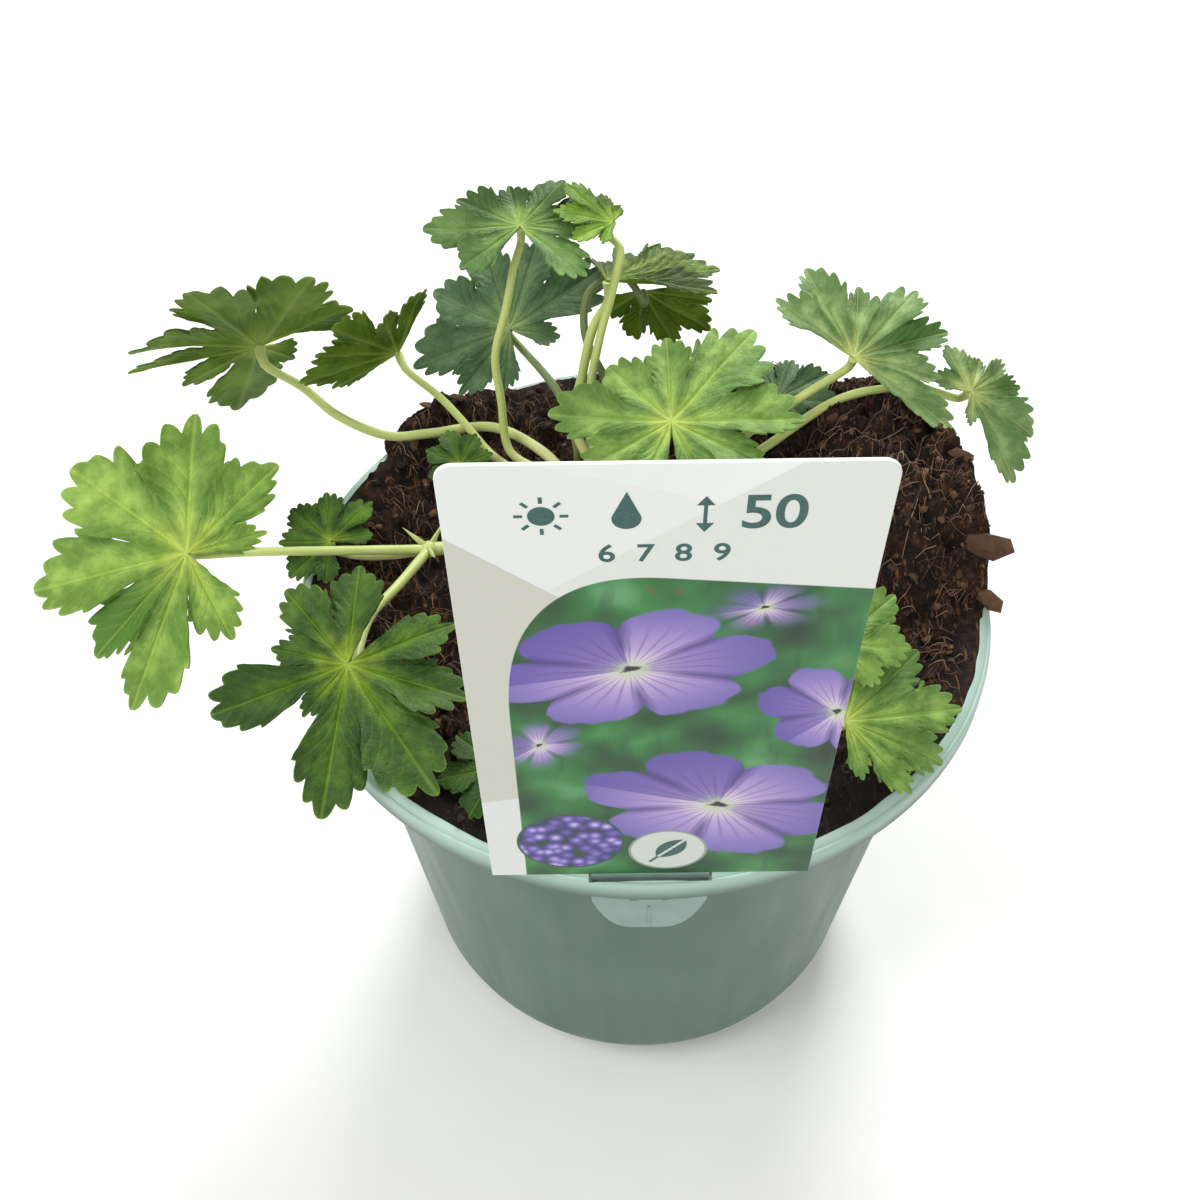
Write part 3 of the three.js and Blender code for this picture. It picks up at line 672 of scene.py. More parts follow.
def soilHeap(turn, r):  # the mound over the right and back, and the tuft at the back left
    (high, *front), (share, *shoulder), (start, slow) = soil["mound"], soil["shoulder"], soil["fade"]
    rise = share * smoothStep(turn, *shoulder) + (1 - share) * smoothStep(turn, *front)
    mound = rise * math.exp(-(max(0, turn - start) / slow) ** 2) * smoothStep(r, *soil["moundReach"])
    tall, middle, width = soil["tuft"]
    tuft = math.exp(-((turn - middle) / width) ** 2) * smoothStep(r, *soil["tuftReach"])
    return high * mound + tall * tuft


def soilBank(turn, r, height):  # banked up against the wall, but for the space behind the label's slot
    start, stop, drop = soil["bank"]
    rise = max(0, pot["height"] - drop - height)
    return rise * smoothStep(abs(turn + 90), *soil["behindLabel"]) * smoothStep(r, start, stop)


def soilHeight(x, y):
    r = math.hypot(x, y)
    turn = math.degrees(math.atan2(y, x))
    lumps = 1.1 * math.sin(x * 0.31 + 1.3) * math.sin(y * 0.27 + 0.4)
    lumps += 0.7 * math.sin(x * 0.63 - y * 0.41) + 0.6 * math.sin(x * 0.35 + y * 0.83 + 2)
    height = soil["level"] + soil["slope"] * y + soilHeap(turn, r) + lumps
    height += soilBank(turn, r, height)
    brink = pot["height"] - 1
    if r < soil["fallFrom"] or height < brink:
        return height
    fall = min(1.0, (r - soil["fallFrom"]) / (soil["edge"] - soil["fallFrom"]))
    return brink + (height - brink) * math.sqrt(1 - fall ** 4)


def soilMaterial():
    # Moist peat with bark and coir: nearly black in patches, matte, with brown threads and crumbs, and
    # painted shade towards the front.
    material, add, shader = newMaterial("moistPeatCompost")
    place = add("TexCoord", out="Object")
    lumps = add("TexNoise", {"Vector": place, "Scale": 1000 / 4.17, "Detail": 7.0, "Roughness": 0.72})
    brown = add("ValToRGB", lumps, stops=(
        (0.3, "#080504"), (0.47, "#1a110c"), (0.6, "#372317"), (0.72, "#5f4029"), (0.86, "#8d6b49")))
    for turn, apart, thread in ((0.7, 1.43, "#6e4427"), (-0.9, 1.11, "#86603c"), (2.2, 1.25, "#4c2c1a")):
        lay = {"Vector": place, "Rotation": (0.3, 0.2, turn), "Scale": (1.0, 0.16, 0.5)}
        drawn = add("Mapping", lay)
        threads = add("TexNoise", {"Vector": drawn, "Scale": 1000 / apart, "Detail": 2.0})
        share = add("MapRange", threads, 0.6, 0.72, 0.0, 0.7, **eased)
        brown = add("Mix", {"Factor": share, "A": brown, "B": thread}, **ofColours)
    # Painted shade: the compost is darkened towards the front, where the label and leaves shade it.
    paintedFrontShade = add("MapRange", add("SeparateXYZ", place, out="Y"), -0.04, -0.058, 0.0, 0.8, **eased)
    grit = add("TexNoise", {"Vector": place, "Scale": 1000 / 1.11, "Detail": 6.0, "Roughness": 0.7})
    setSockets(shader, {
        "Base Color": add("Mix", {"Factor": paintedFrontShade, "A": brown, "B": "#090605"}, **ofColours),
        "Roughness": 0.85,
        "Specular IOR Level": 0.25,
        "Normal": add("Bump", {"Strength": 1.0, "Distance": 0.9 * mm, "Height": grit}),
    })
    return material


def looseMaterial(name, stops, roughness):
    # Loose bits of bark and coir, each with its own shade of brown kept in the mesh, and for the crumbs
    # painted shade towards the front.
    material, add, shader = newMaterial(name)
    shade = add("Attribute", out="Fac", attribute_name="shade")
    place = add("TexCoord", out="Object")
    grain = add("TexNoise", {"Vector": place, "Scale": 1000 / 1.43, "Detail": 3.0})
    mixed = add("Math", grain, 0.35, shade, operation="MULTIPLY_ADD")
    setSockets(shader, {
        "Base Color": add("ValToRGB", mixed, stops=stops),
        "Roughness": roughness,
        "Normal": add("Bump", {"Strength": 0.5, "Distance": 0.3 * mm, "Height": grain}),
    })
    return material


def soilSurface(x, y):  # the finished surface, with its clods, in mm
    height = soilHeight(x, y)
    rough = 1 + soil["heapClods"] * smoothStep(height, 148, 158)
    for scale, depth in soil["clods"]:
        height += rough * depth * (0.35 - abs(noise.noise(Vector((x, y, 3.7)) * scale)) * 1.6)
    return height


def soilReach(turn, brink, spill, banked):  # how far out the surface goes, with a ragged edge on the rim
    reach = (innerRadius(min(brink, pot["height"])) - 0.4 + soil["overlap"] * banked) * (1 - spill)
    reach += (soil["edge"] - 0.3) * spill
    way = Vector((math.cos(turn), math.sin(turn), 0))
    for scale, depth in soil["ragged"]:
        reach += depth * max(spill, 0.15 * banked) * (noise.noise(way * scale) - 0.2)
    return reach


def soilPoint(x, y):  # from a square grid, -1 to 1 each way, to the round surface
    flat = Vector((x * math.sqrt(1 - y * y / 2), y * math.sqrt(1 - x * x / 2), 0))
    share = min(1.0, flat.length)
    turn = math.atan2(flat.y, flat.x)
    brink = soilHeight(soil["brink"] * math.cos(turn), soil["brink"] * math.sin(turn))
    spill, banked = smoothStep(brink, *soil["spill"]), smoothStep(brink, *soil["banked"])
    r = share * soilReach(turn, brink, spill, banked)
    x, y = r * math.cos(turn), r * math.sin(turn)
    height = soilSurface(x, y)
    height += banked * smoothStep(r, 78.5, 83) * max(0, pot["height"] + 0.3 - height)  # over the rim's inside
    if share > 0.999 and banked > 0.5:
        height = pot["height"] + 0.05 + 0.35 * spill
    return Vector((x, y, height)) * mm


def makeCompost():
    bm = bmesh.new()
    bmesh.ops.create_grid(bm, x_segments=soil["cells"], y_segments=soil["cells"], size=1.0)
    for vert in bm.verts:
        vert.co = soilPoint(vert.co.x, vert.co.y)
    edge = [e for e in bm.edges if e.is_boundary]
    for low, radius in soil["sides"]:
        made = bmesh.ops.extrude_edge_only(bm, edges=edge)["geom"]
        edge = [e for e in made if isinstance(e, bmesh.types.BMEdge) and e.is_boundary]
        for vert in {v for e in edge for v in e.verts}:
            away = Vector((vert.co.x, vert.co.y, 0))
            away *= min(1.0, radius * mm / away.length)
            away.z = low * mm if low else min(vert.co.z - 0.4 * mm, (pot["height"] + 0.4) * mm)
            vert.co = away
    bmesh.ops.contextual_create(bm, geom=edge)
    bmesh.ops.triangulate(bm, faces=[f for f in bm.faces if len(f.verts) > 4])
    bmesh.ops.recalc_face_normals(bm, faces=bm.faces)
    finishPiece(meshOf(bm, "compostBed"), "compostBed", [soilMaterial()], ["compost"])


crumbs = {"count": 3600, "size": (0.6, 3.2), "seed": 11, "batch": 60}
fibres = {
    "count": 2400,
    "length": (2.5, 9),  # mm
    "radius": 0.085,
    "points": 5,
    "front": -48,  # none lie nearer the front than this
    "turnBack": 79,  # past this radius they turn back in before the rim
    "seed": 5,
}
chips = [  # larger bits of bark: compass angle, radius and size in mm, tilt, and thickness as a share of size
    (-0.7, 87.5, 14, 15, 0.45), (-6.5, 89, 8, 40, 0.7), (13, 84, 7, 30, 0.16), (134, 86, 8, 50, 0.16),
    (141, 82, 6, 35, 0.16), (128, 84, 6, 15, 0.16), (60, 74, 7, 25, 0.16), (38, 66, 6, 10, 0.16),
    (-42, 70, 5, 15, 0.16), (100, 80, 6, 20, 0.16), (-60, 62, 5, 10, 0.16), (20, 58, 6, 15, 0.16),
]


def scatterSpot(chooser):  # anywhere on the compost, and out over the rim on the heaps
    while True:
        x, y = chooser.uniform(-soil["edge"], soil["edge"]), chooser.uniform(-soil["edge"], soil["edge"])
        r = math.hypot(x, y)
        brink = soilHeight(soil["brink"] * x / r, soil["brink"] * y / r) if r > soil["spread"][-1][1] else 0
        if r < next(reach for height, reach in soil["spread"] if brink >= height):
            return x, y


def soilSlope(x, y):  # a turn that lays a flat thing on the surface
    step = 1.5
    rise = Vector((soilSurface(x - step, y) - soilSurface(x + step, y),
                   soilSurface(x, y - step) - soilSurface(x, y + step), 2 * step)).normalized()
    return rise.to_track_quat("Z", "Y")


def addBit(bm, chooser, x, y, size, tilt, flat, tone, heading=None):  # one crumb, lying on the surface
    made = bmesh.ops.create_icosphere(bm, subdivisions=1, radius=size * mm / 2)["verts"]
    shade = bm.verts.layers.float["shade"]
    for vert in made:
        vert.co *= 1 + 0.5 * (chooser.random() - 0.5)
        vert[shade] = tone
    shape = Matrix.Diagonal((1, flat[0], flat[1], 1))
    heading = chooser.uniform(0, 6.3) if heading is None else heading
    turn = Euler((math.radians(tilt), 0, heading)).to_matrix().to_4x4()
    lay = soilSlope(0.93 * x, 0.93 * y).to_matrix().to_4x4()
    move = Matrix.Translation(Vector((x, y, soilSurface(x, y) + size * 0.12)) * mm)
    bmesh.ops.transform(bm, matrix=move @ lay @ turn @ shape, verts=made)


def makeCrumbs():
    chooser = random.Random(crumbs["seed"])
    small, large = crumbs["size"]
    bits = []
    for _ in range(crumbs["count"]):
        size = small + (large - small) * chooser.random() ** 3
        x, y = scatterSpot(chooser)
        # Painted shade: crumbs nearer the front are darker, where the label and leaves shade the compost.
        tone = chooser.random() * (0.65 - 0.5 * smoothStep(-y, 40, 56))
        bits.append((x, y, size, chooser.uniform(-30, 30), (0.75, 0.55), tone))
    for compass, radius, size, tilt, flat in chips:
        turn = math.radians(compass)
        shade = 0.3 + 0.3 * chooser.random()
        spot = (radius * math.cos(turn), radius * math.sin(turn))
        bits.append((*spot, size, tilt, (0.5, flat), shade, turn + 0.5 * (chooser.random() - 0.5)))
    bm = bmesh.new()
    for start in range(0, len(bits), crumbs["batch"]):
        part = bmesh.new()
        part.verts.layers.float.new("shade")
        for bit in bits[start:start + crumbs["batch"]]:
            addBit(part, chooser, *bit)
        mesh = meshOf(part, "crumbBatch", smooth=False)
        bm.from_mesh(mesh)
        bpy.data.meshes.remove(mesh)
    browns = ((0.2, "#120b07"), (0.5, "#3a2416"), (0.8, "#6a4a30"), (1.0, "#a08660"))
    bark = looseMaterial("shreddedBark", browns, 0.85)
    finishPiece(meshOf(bm, "barkCrumbs", smooth=False), "barkCrumbs", [bark])


def addFibre(curve, chooser, x, y):  # wanders over the surface, a little above it in the middle
    length = chooser.uniform(*fibres["length"])
    heading = chooser.uniform(0, 6.3)
    bend = chooser.uniform(-0.9, 0.9)
    last = fibres["points"] - 1
    spline = curve.splines.new("POLY")
    spline.points.add(last)
    for step in range(fibres["points"]):
        share = step / last
        lift = 0.1 + (0.3 + 1.5 * chooser.random()) * math.sin(math.pi * share)
        if math.hypot(x, y) > fibres["turnBack"]:
            heading = math.atan2(-y, -x) + chooser.uniform(-1, 1)
        spline.points[step].co = (x * mm, y * mm, (soilSurface(x, y) + lift) * mm, 1)
        spline.points[step].radius = 0.5 + 0.9 * math.sin(math.pi * (0.15 + 0.7 * share))
        heading += bend / fibres["points"]
        x += math.cos(heading) * length / last
        y += math.sin(heading) * length / last


def makeFibres():
    chooser = random.Random(fibres["seed"])
    curve = bpy.data.curves.new("coirFibres", "CURVE")
    curve.dimensions = "3D"
    curve.bevel_depth = fibres["radius"] * mm
    curve.bevel_resolution = 0
    tones = []
    for _ in range(fibres["count"]):
        x, y = scatterSpot(chooser)
        if y >= fibres["front"]:
            addFibre(curve, chooser, x, y)
            tones.append(chooser.random())
    mesh = finalMesh(newObject("coirFibresCurve", curve))
    shade = mesh.attributes.new("shade", "FLOAT", "POINT")
    perFibre = len(mesh.vertices) // len(tones)
    for index in range(len(mesh.vertices)):
        shade.data[index].value = 0.1 + 0.6 * tones[min(len(tones) - 1, index // perFibre)]
    browns = ((0.1, "#24160e"), (0.45, "#54382a"), (0.75, "#84664c"), (1.0, "#b39c7c"))
    finishPiece(mesh, "coirFibres", [looseMaterial("coirFibre", browns, 0.7)])


makeCompost()
makeCrumbs()
makeFibres()
print("stage: compost")


# Hub and lengths are in mm. Tilt is degrees from level and the compass angle that the leaf leans to.
# Lobes are compass angle and length, and the listed lobe numbers get painted shade, for lobes turned from the
# light.
leafShapes = {
    "far_left": {
        "hub": (-117, 1, 158), "tilt": (38, -95), "width": 1.05, "slit": 0.36, "crease": 0.05,
        "tone": "fresh", "dusk": (5,),
        "lobes": ((13, 20), (43, 31), (88, 35), (143, 38), (191, 41), (226, 35), (249, 41), (296, 24)),
    },
    "front_left": {
        "hub": (-70, -41.5, 164), "tilt": (24, -95), "width": 1.06, "slit": 0.4, "tone": "deep",
        "lobes": (
            (86, 24), (130, 24), (166, 18), (199, 33), (229, 15), (262, 34), (305, 36), (343, 28),
            (381, 25),
        ),
    },
    "small_left": {
        "hub": (-82, 9.5, 153.5), "tilt": (18, -90), "tone": "deep",
        "lobes": ((10, 11), (50, 15), (98, 14), (138, 15), (182, 13), (226, 14), (268, 12)),
    },
    "back_left": {
        "hub": (-104, 61, 178), "tilt": (60, 110), "tone": "deep",
        "lobes": (
            (72, 14), (126, 34), (176, 24), (209, 34), (238, 40), (271, 43), (314, 38), (348, 29),
        ),
    },
    "folded_left": {
        "hub": (-67, 65, 172), "tilt": (70, 115), "tone": "deep",
        "lobes": ((183, 20), (209, 28), (231, 26), (255, 28), (283, 22), (307, 27)),
    },
    "top": {
        "hub": (-31, 72, 207.5), "tilt": (15, -90), "slit": 0.5, "tone": "hoary", "dusk": (2, 3, 4, 5),
        "lobes": (
            (-42, 23), (-6, 19), (17, 25), (55, 20), (103, 14.5), (150, 19), (181, 24.5), (220, 20),
        ),
    },
    "top_small": {
        "hub": (-6.5, 71.5, 208.6), "tilt": (25, -60), "tone": "lime", "dusk": (0, 1),
        "lobes": ((70, 6), (110, 9), (142, 16), (176, 15), (212, 12), (250, 7)),
    },
    "dark_back": {
        "hub": (-36, 75, 172), "tilt": (40, -80), "slit": 0.6, "tone": "shaded",
        "lobes": ((-4, 14), (36, 32), (74, 26), (107, 24), (156, 23), (205, 28), (235, 23), (268, 17)),
    },
    "level_back": {
        "hub": (-8, 71, 191), "tilt": (17, 100), "crease": 0.06, "tone": "olive", "dusk": (0, 4),
        "lobes": ((-9, 29), (16, 31), (43, 29), (69, 27), (95, 22)),
    },
    "hanging_back": {
        "hub": (2, 80, 181), "tilt": (84, 95), "tone": "deep",
        "lobes": ((17, 20), (43, 25), (70, 23), (98, 17), (150, 13)),
    },
    "centre_back": {
        "hub": (8, 29, 176), "tilt": (20, -90), "slit": 0.5, "tone": "mid",
        "lobes": (
            (-66, 22), (-27, 27), (2, 34), (51, 36), (91, 25), (132, 24), (176, 31), (210, 26),
            (246, 22),
        ),
    },
    "low_right": {
        "hub": (38.5, 50, 166), "tilt": (13, -100), "tone": "shaded",
        "lobes": ((-40, 10), (-8, 16), (30, 17), (68, 15), (105, 13)),
    },
    "right": {
        "hub": (57, 46, 182.8), "tilt": (25, -80), "slit": 0.55, "crease": 0.13,
        "tone": "pale", "dusk": (2,),
        "lobes": ((-35, 32), (-7, 24), (20, 28), (49, 28), (82, 22), (112, 29), (137, 26)),
    },
    "far_right": {
        "hub": (90, 45, 171.5), "tilt": (34, -60), "crease": 0.13, "tone": "pale", "dusk": (3,),
        "lobes": ((-86, 9), (-56, 27), (-22, 22), (16, 16), (42, 15), (72, 11), (118, 14), (162, 11)),
    },
    "front_right": {
        "hub": (44, -57.5, 161), "tilt": (26, -45), "slit": 0.7, "tone": "mid", "dusk": (4, 5),
        "lobes": ((-72, 13), (-42, 21), (-13, 26), (14, 31), (45, 28), (76, 25)),
    },
    "mid_right": {
        "hub": (42.7, -42.4, 170), "tilt": (25, -60), "tone": "mid",
        "lobes": ((-38, 13), (3, 18), (42, 20), (82, 16), (122, 13)),
    },
    "young_left": {
        "hub": (-49, 34.5, 157), "tilt": (25, -90), "tone": "deep",
        "lobes": ((20, 9), (65, 10), (110, 11), (155, 10), (200, 9)),
    },
    "low_front": {
        "hub": (-35, -61, 150.3), "tilt": (12, -120), "tone": "deep", "dusk": (0, 1, 2, 3, 4),
        "lobes": ((90, 12), (140, 13), (190, 14), (240, 14), (290, 12)),
    },
    "inner_left": {
        "hub": (-14, -21, 168), "tilt": (15, -100), "reach": 22, "heading": 250, "tone": "mid",
    },
    "inner_right": {
        "hub": (19, -19, 172), "tilt": (20, -50), "reach": 20, "heading": -40, "tone": "mid",
    },
    "inner_front": {
        "hub": (-2, -56, 160), "tilt": (15, -90), "reach": 20, "heading": -80, "tone": "mid",
    },
}
usualLobes = ((-132, 0.66), (-92, 0.85), (-46, 0.96), (0, 1), (46, 0.96), (92, 0.85), (132, 0.66))
# Teeth and notches by turns, from a lobe's flank to its middle, as shares of its width and length.
toothLine = ((1.0, 0.74), (0.86, 0.715), (0.70, 0.88), (0.54, 0.845), (0.37, 0.97), (0.20, 0.93), (0, 1.04))
blade = {
    "thickness": 0.45,
    "clearance": 0.2,  # the underside of the solid model lies this much lower
    "slit": 0.42,
    "width": 1.1,  # over 1, so that neighbouring lobes overlap
    "waist": 0.05,  # the lobes narrow by this share just outside their slits
    "pleat": 0.05,
    "crease": 0.02,  # the pleats are this much deeper than in the solid model
    "wave": 0.035,
    "roll": 0.07,  # each lobe tips sideways over the next, as a share of its length
    "lift": 0.06,
    "flankTooth": 0.045,
    "toothCells": 4,
    "rows": (6, 12),  # inside the slits and outside them
    "smallRows": (5, 10),
    "small": 19,  # a leaf that reaches less than this is small
    "quilt": 0.4,  # mm, how far the blade swells between its side veins
    "veinStep": 0.161,  # spacing of the side veins, as a share of the lobe's length
    "veinSlant": 0.45,
    "veinStart": 0.025,
}


def leafTurn(name):  # from lying level to the leaf's lean
    lean, compass = (math.radians(angle) for angle in leafShapes[name]["tilt"])
    return Quaternion((-math.sin(compass), math.cos(compass), 0), lean)


def leafPlan(name, index):  # the leaf's lobes with their sectors and the stops of their toothed edge
    given = leafShapes[name]
    lobes = given.get("lobes") or [(given["heading"] + a, given["reach"] * s) for a, s in usualLobes]
    plan = {"seed": index + 1, "reach": max(length for _, length in lobes), "lobes": [],
            "fold": blade["pleat"] + given.get("crease", blade["crease"]),
            "slit": given.get("slit", blade["slit"]), "width": given.get("width", blade["width"])}
    way = 1 if chance(plan["seed"], 40) > 0.5 else -1
    for i, (angle, length) in enumerate(lobes):
        before = (angle - lobes[i - 1][0]) / 2 if i else None
        after = (lobes[i + 1][0] - angle) / 2 if i + 1 < len(lobes) else None
        before, after = before or after, after or before
        slits = [plan["slit"] * length * 0.8] * 2
        if i:
            slits[0] = plan["slit"] * min(length, lobes[i - 1][1])
        if i + 1 < len(lobes):
            slits[1] = plan["slit"] * min(length, lobes[i + 1][1])

        def stop(step, sign):
            share, reach = toothLine[step]
            luck = chance(plan["seed"], 20 * i + step + 9 * (sign + 1)) - 0.5
            slide = 0.07 * luck if 0 < step < len(toothLine) - 1 else 0
            return sign * (share + slide), length * reach * (1 + (0.08 if step % 2 else 0.05) * luck)

        steps = range(len(toothLine))
        stops = [stop(step, -1) for step in steps] + [stop(step, 1) for step in reversed(steps[:-1])]
        plan["lobes"].append({
            "angle": angle, "length": length, "slits": slits, "stops": stops,
            "before": before, "after": after,
            "roll": way * blade["roll"] * (0.5 + chance(plan["seed"], 50 + i)),
            "lift": blade["lift"] * (chance(plan["seed"], 70 + i) - 0.5),
            # Painted shade: every lobe is darkened a little at random, and the listed lobes more, as if
            # turned from the light.
            "dusk": 0.4 * chance(plan["seed"], 90 + i) + 0.7 * (i in given.get("dusk", ())),
        })
    return plan


def rimReach(lobe, cell):  # column number to place across the lobe, and the toothed edge's radius there
    part, within = divmod(cell, blade["toothCells"])
    if part == len(lobe["stops"]) - 1:
        return lobe["stops"][-1]
    (a, reachA), (b, reachB) = lobe["stops"][part], lobe["stops"][part + 1]
    x = within / blade["toothCells"]
    rounding = x ** 2.3 if part % 2 == 0 else 1 - (1 - x) ** 2.3  # blunt teeth, sharp notches
    return a + (b - a) * x, reachA + (reachB - reachA) * rounding


def leafRise(plan, lobe, x, y, across, radius, outward):  # height of the blade above its plane, in mm
    reach, seed, length = plan["reach"], plan["seed"], lobe["length"]
    q = math.hypot(x, y) / reach
    turn = math.atan2(y, x)
    size = min(1.0, length / 26)
    rise = plan["fold"] * reach * (abs(across) ** 1.5 - 0.4) * min(q, 1)
    rise += blade["wave"] * reach * q * q * math.sin(3 * turn + 6.3 * chance(seed, 1))
    rise += 0.7 * blade["wave"] * reach * q * q * math.sin(5 * turn + 6.3 * chance(seed, 2))
    rise += (lobe["roll"] * across + lobe["lift"] * outward - 0.015 * outward ** 3) * length * outward
    v = radius / length
    vein = (v - blade["veinSlant"] * abs(across) - blade["veinStart"]) / blade["veinStep"]
    swell = abs(math.sin(math.pi * vein)) ** 0.7 * smoothStep(v, 0.08, 0.3)
    swell *= smoothStep(abs(across), 0.02, 0.3) * (1 - 0.9 * smoothStep(v, 0.6, 0.95))
    rise += blade["quilt"] * size * swell
    rise -= 0.4 * size * math.exp(-(across * 9) ** 2) * smoothStep(v, 0.02, 0.2)
    spot = Vector((x, y, seed * 9.0))
    return rise + size * q * (0.9 * noise.noise(spot * 0.09) + 0.45 * noise.noise(spot * 0.27))


def bladePoint(plan, lobe, cell, row, rows):  # a point of the blade, and its place in both maps
    inner, outer = rows
    across, edge = rimReach(lobe, cell)
    half = lobe["after"] if across > 0 else lobe["before"]
    slit = lobe["slits"][0] + (lobe["slits"][1] - lobe["slits"][0]) * (across + 1) / 2
    k, radius, spread = 0.0, slit * row / inner, across
    if row > inner:
        k = (row - inner) / outer
        radius = slit + (edge - slit) * k
        tooth = blade["flankTooth"] * ((3 * k) % 1) * k * smoothStep(abs(across), 0.8, 1)
        waist = blade["waist"] * math.exp(-((k - 0.22) / 0.16) ** 2)
        wide = 1 - waist + (plan["width"] - 1) * smoothStep(k, 0.25, 0.75)
        spread = across * (wide + tooth)
    angle = math.radians(lobe["angle"] + half * spread)
    x, y = radius * math.cos(angle), radius * math.sin(angle)
    rise = leafRise(plan, lobe, x, y, across, radius, k) - blade["clearance"]
    return Vector((x, y, rise)), ((across / 2 + 0.5, radius / lobe["length"]), (k, radius / plan["reach"]))


def makeLeaf(name, index, materials):
    plan = leafPlan(name, index)
    hub, turn = Vector(leafShapes[name]["hub"]), leafTurn(name)
    rows = blade["smallRows"] if plan["reach"] < blade["small"] else blade["rows"]
    columns = blade["toothCells"] * 2 * (len(toothLine) - 1)
    bm = bmesh.new()
    bladeUv = bm.loops.layers.uv.new("blade")
    marginUv = bm.loops.layers.uv.new("margin")
    # Each face keeps how much painted shade its lobe gets.
    dusk = bm.faces.layers.float.new("dusk")
    for lobe in plan["lobes"]:
        made = bmesh.ops.create_grid(bm, x_segments=columns, y_segments=sum(rows), size=0.5)["verts"]
        placed = {}
        for vert in made:
            cell, row = round((vert.co.x + 0.5) * columns), round((vert.co.y + 0.5) * sum(rows))
            point, placed[vert] = bladePoint(plan, lobe, cell, row, rows)
            vert.co = (hub + turn @ point) * mm
        for face in {f for v in made for f in v.link_faces}:
            face[dusk] = lobe["dusk"]
            for loop in face.loops:
                loop[bladeUv].uv, loop[marginUv].uv = placed[loop.vert]
    bmesh.ops.remove_doubles(bm, verts=bm.verts, dist=2e-6)
    bmesh.ops.dissolve_degenerate(bm, edges=bm.edges, dist=1e-7)
    up = turn @ Vector((0, 0, 1))
    if sum(face.normal.dot(up) * face.calc_area() for face in bm.faces) < 0:
        bmesh.ops.reverse_faces(bm, faces=bm.faces)
    for edge in bm.edges:
        edge.smooth = not edge.is_boundary
    title = pieceTitle(name, "Leaf")
    piece = finishPiece(meshOf(bm, title), title, materials, [f"leaf_{name}"])
    thick = piece.modifiers.new("thickness", "SOLIDIFY")
    thick.thickness = blade["thickness"] * mm
    thick.offset = -1
    thick.material_offset = 1
    thick.use_rim = True


leafTones = {  # dark ground, light ground, veins, hub, and the painted shade for lobes turned from the light and for valleys between lobes
    "fresh": ("#6a8e34", "#adcc5e", "#bbd569", "#cddb60", "#4d7a26"),
    "mid": ("#597e30", "#9cbd5d", "#adc965", "#c4d55d", "#466e2a"),
    "pale": ("#618045", "#a9c080", "#bcce8a", "#d5d980", "#466e2a"),
    "deep": ("#2a4a09", "#5d8220", "#83a530", "#a2bc31", "#21410a"),
    "lime": ("#5c8420", "#9cc24a", "#a8cc58", "#b8d050", "#3c5610"),
    "olive": ("#3c560c", "#97b547", "#a4bd53", "#aec546", "#2e4608"),
    "hoary": ("#537a3b", "#8cb062", "#9dba6b", "#adc65e", "#2c4a0c"),
    "shaded": ("#496841", "#769166", "#8fa776", "#a3b76c", "#3a5932"),
}


def leafPlaces(add):  # across the lobe from its midrib, along it, from slit to edge, and out from the hub
    blades, margins = (add("UVMap", uv_map=name) for name in ("blade", "margin"))
    across = add("Math", add("SeparateXYZ", blades, out="X"), 0.5, operation="SUBTRACT")
    across = add("Math", add("Math", across, operation="ABSOLUTE"), 2.0, operation="MULTIPLY")
    return (across, add("SeparateXYZ", blades, out="Y"), add("SeparateXYZ", margins, out="X"),
            add("SeparateXYZ", margins, out="Y"))


def veinLines(add, place, across, along):  # 1 on the midrib and on the side veins
    wobble = add("TexNoise", {"Vector": place, "Scale": 1000 / 3.85, "Detail": 2.0})
    slant = add("Math", across, -blade["veinSlant"], along, operation="MULTIPLY_ADD")
    slant = add("Math", wobble, 0.08, slant, operation="MULTIPLY_ADD")
    wave = add("Math", slant, blade["veinStart"] + 0.04, operation="SUBTRACT")
    wave = add("Math", wave, blade["veinStep"] / 2, operation="PINGPONG")
    side = add("Math", add("MapRange", wave, 0.034, 0.0, **eased),
               add("MapRange", along, 1.0, 0.3, 0.1, 0.5, **eased), operation="MULTIPLY")
    middle = add("Math", across, along, operation="MULTIPLY")
    return add("Math", side, add("MapRange", middle, 0.06, 0.004, **eased), operation="MAXIMUM")


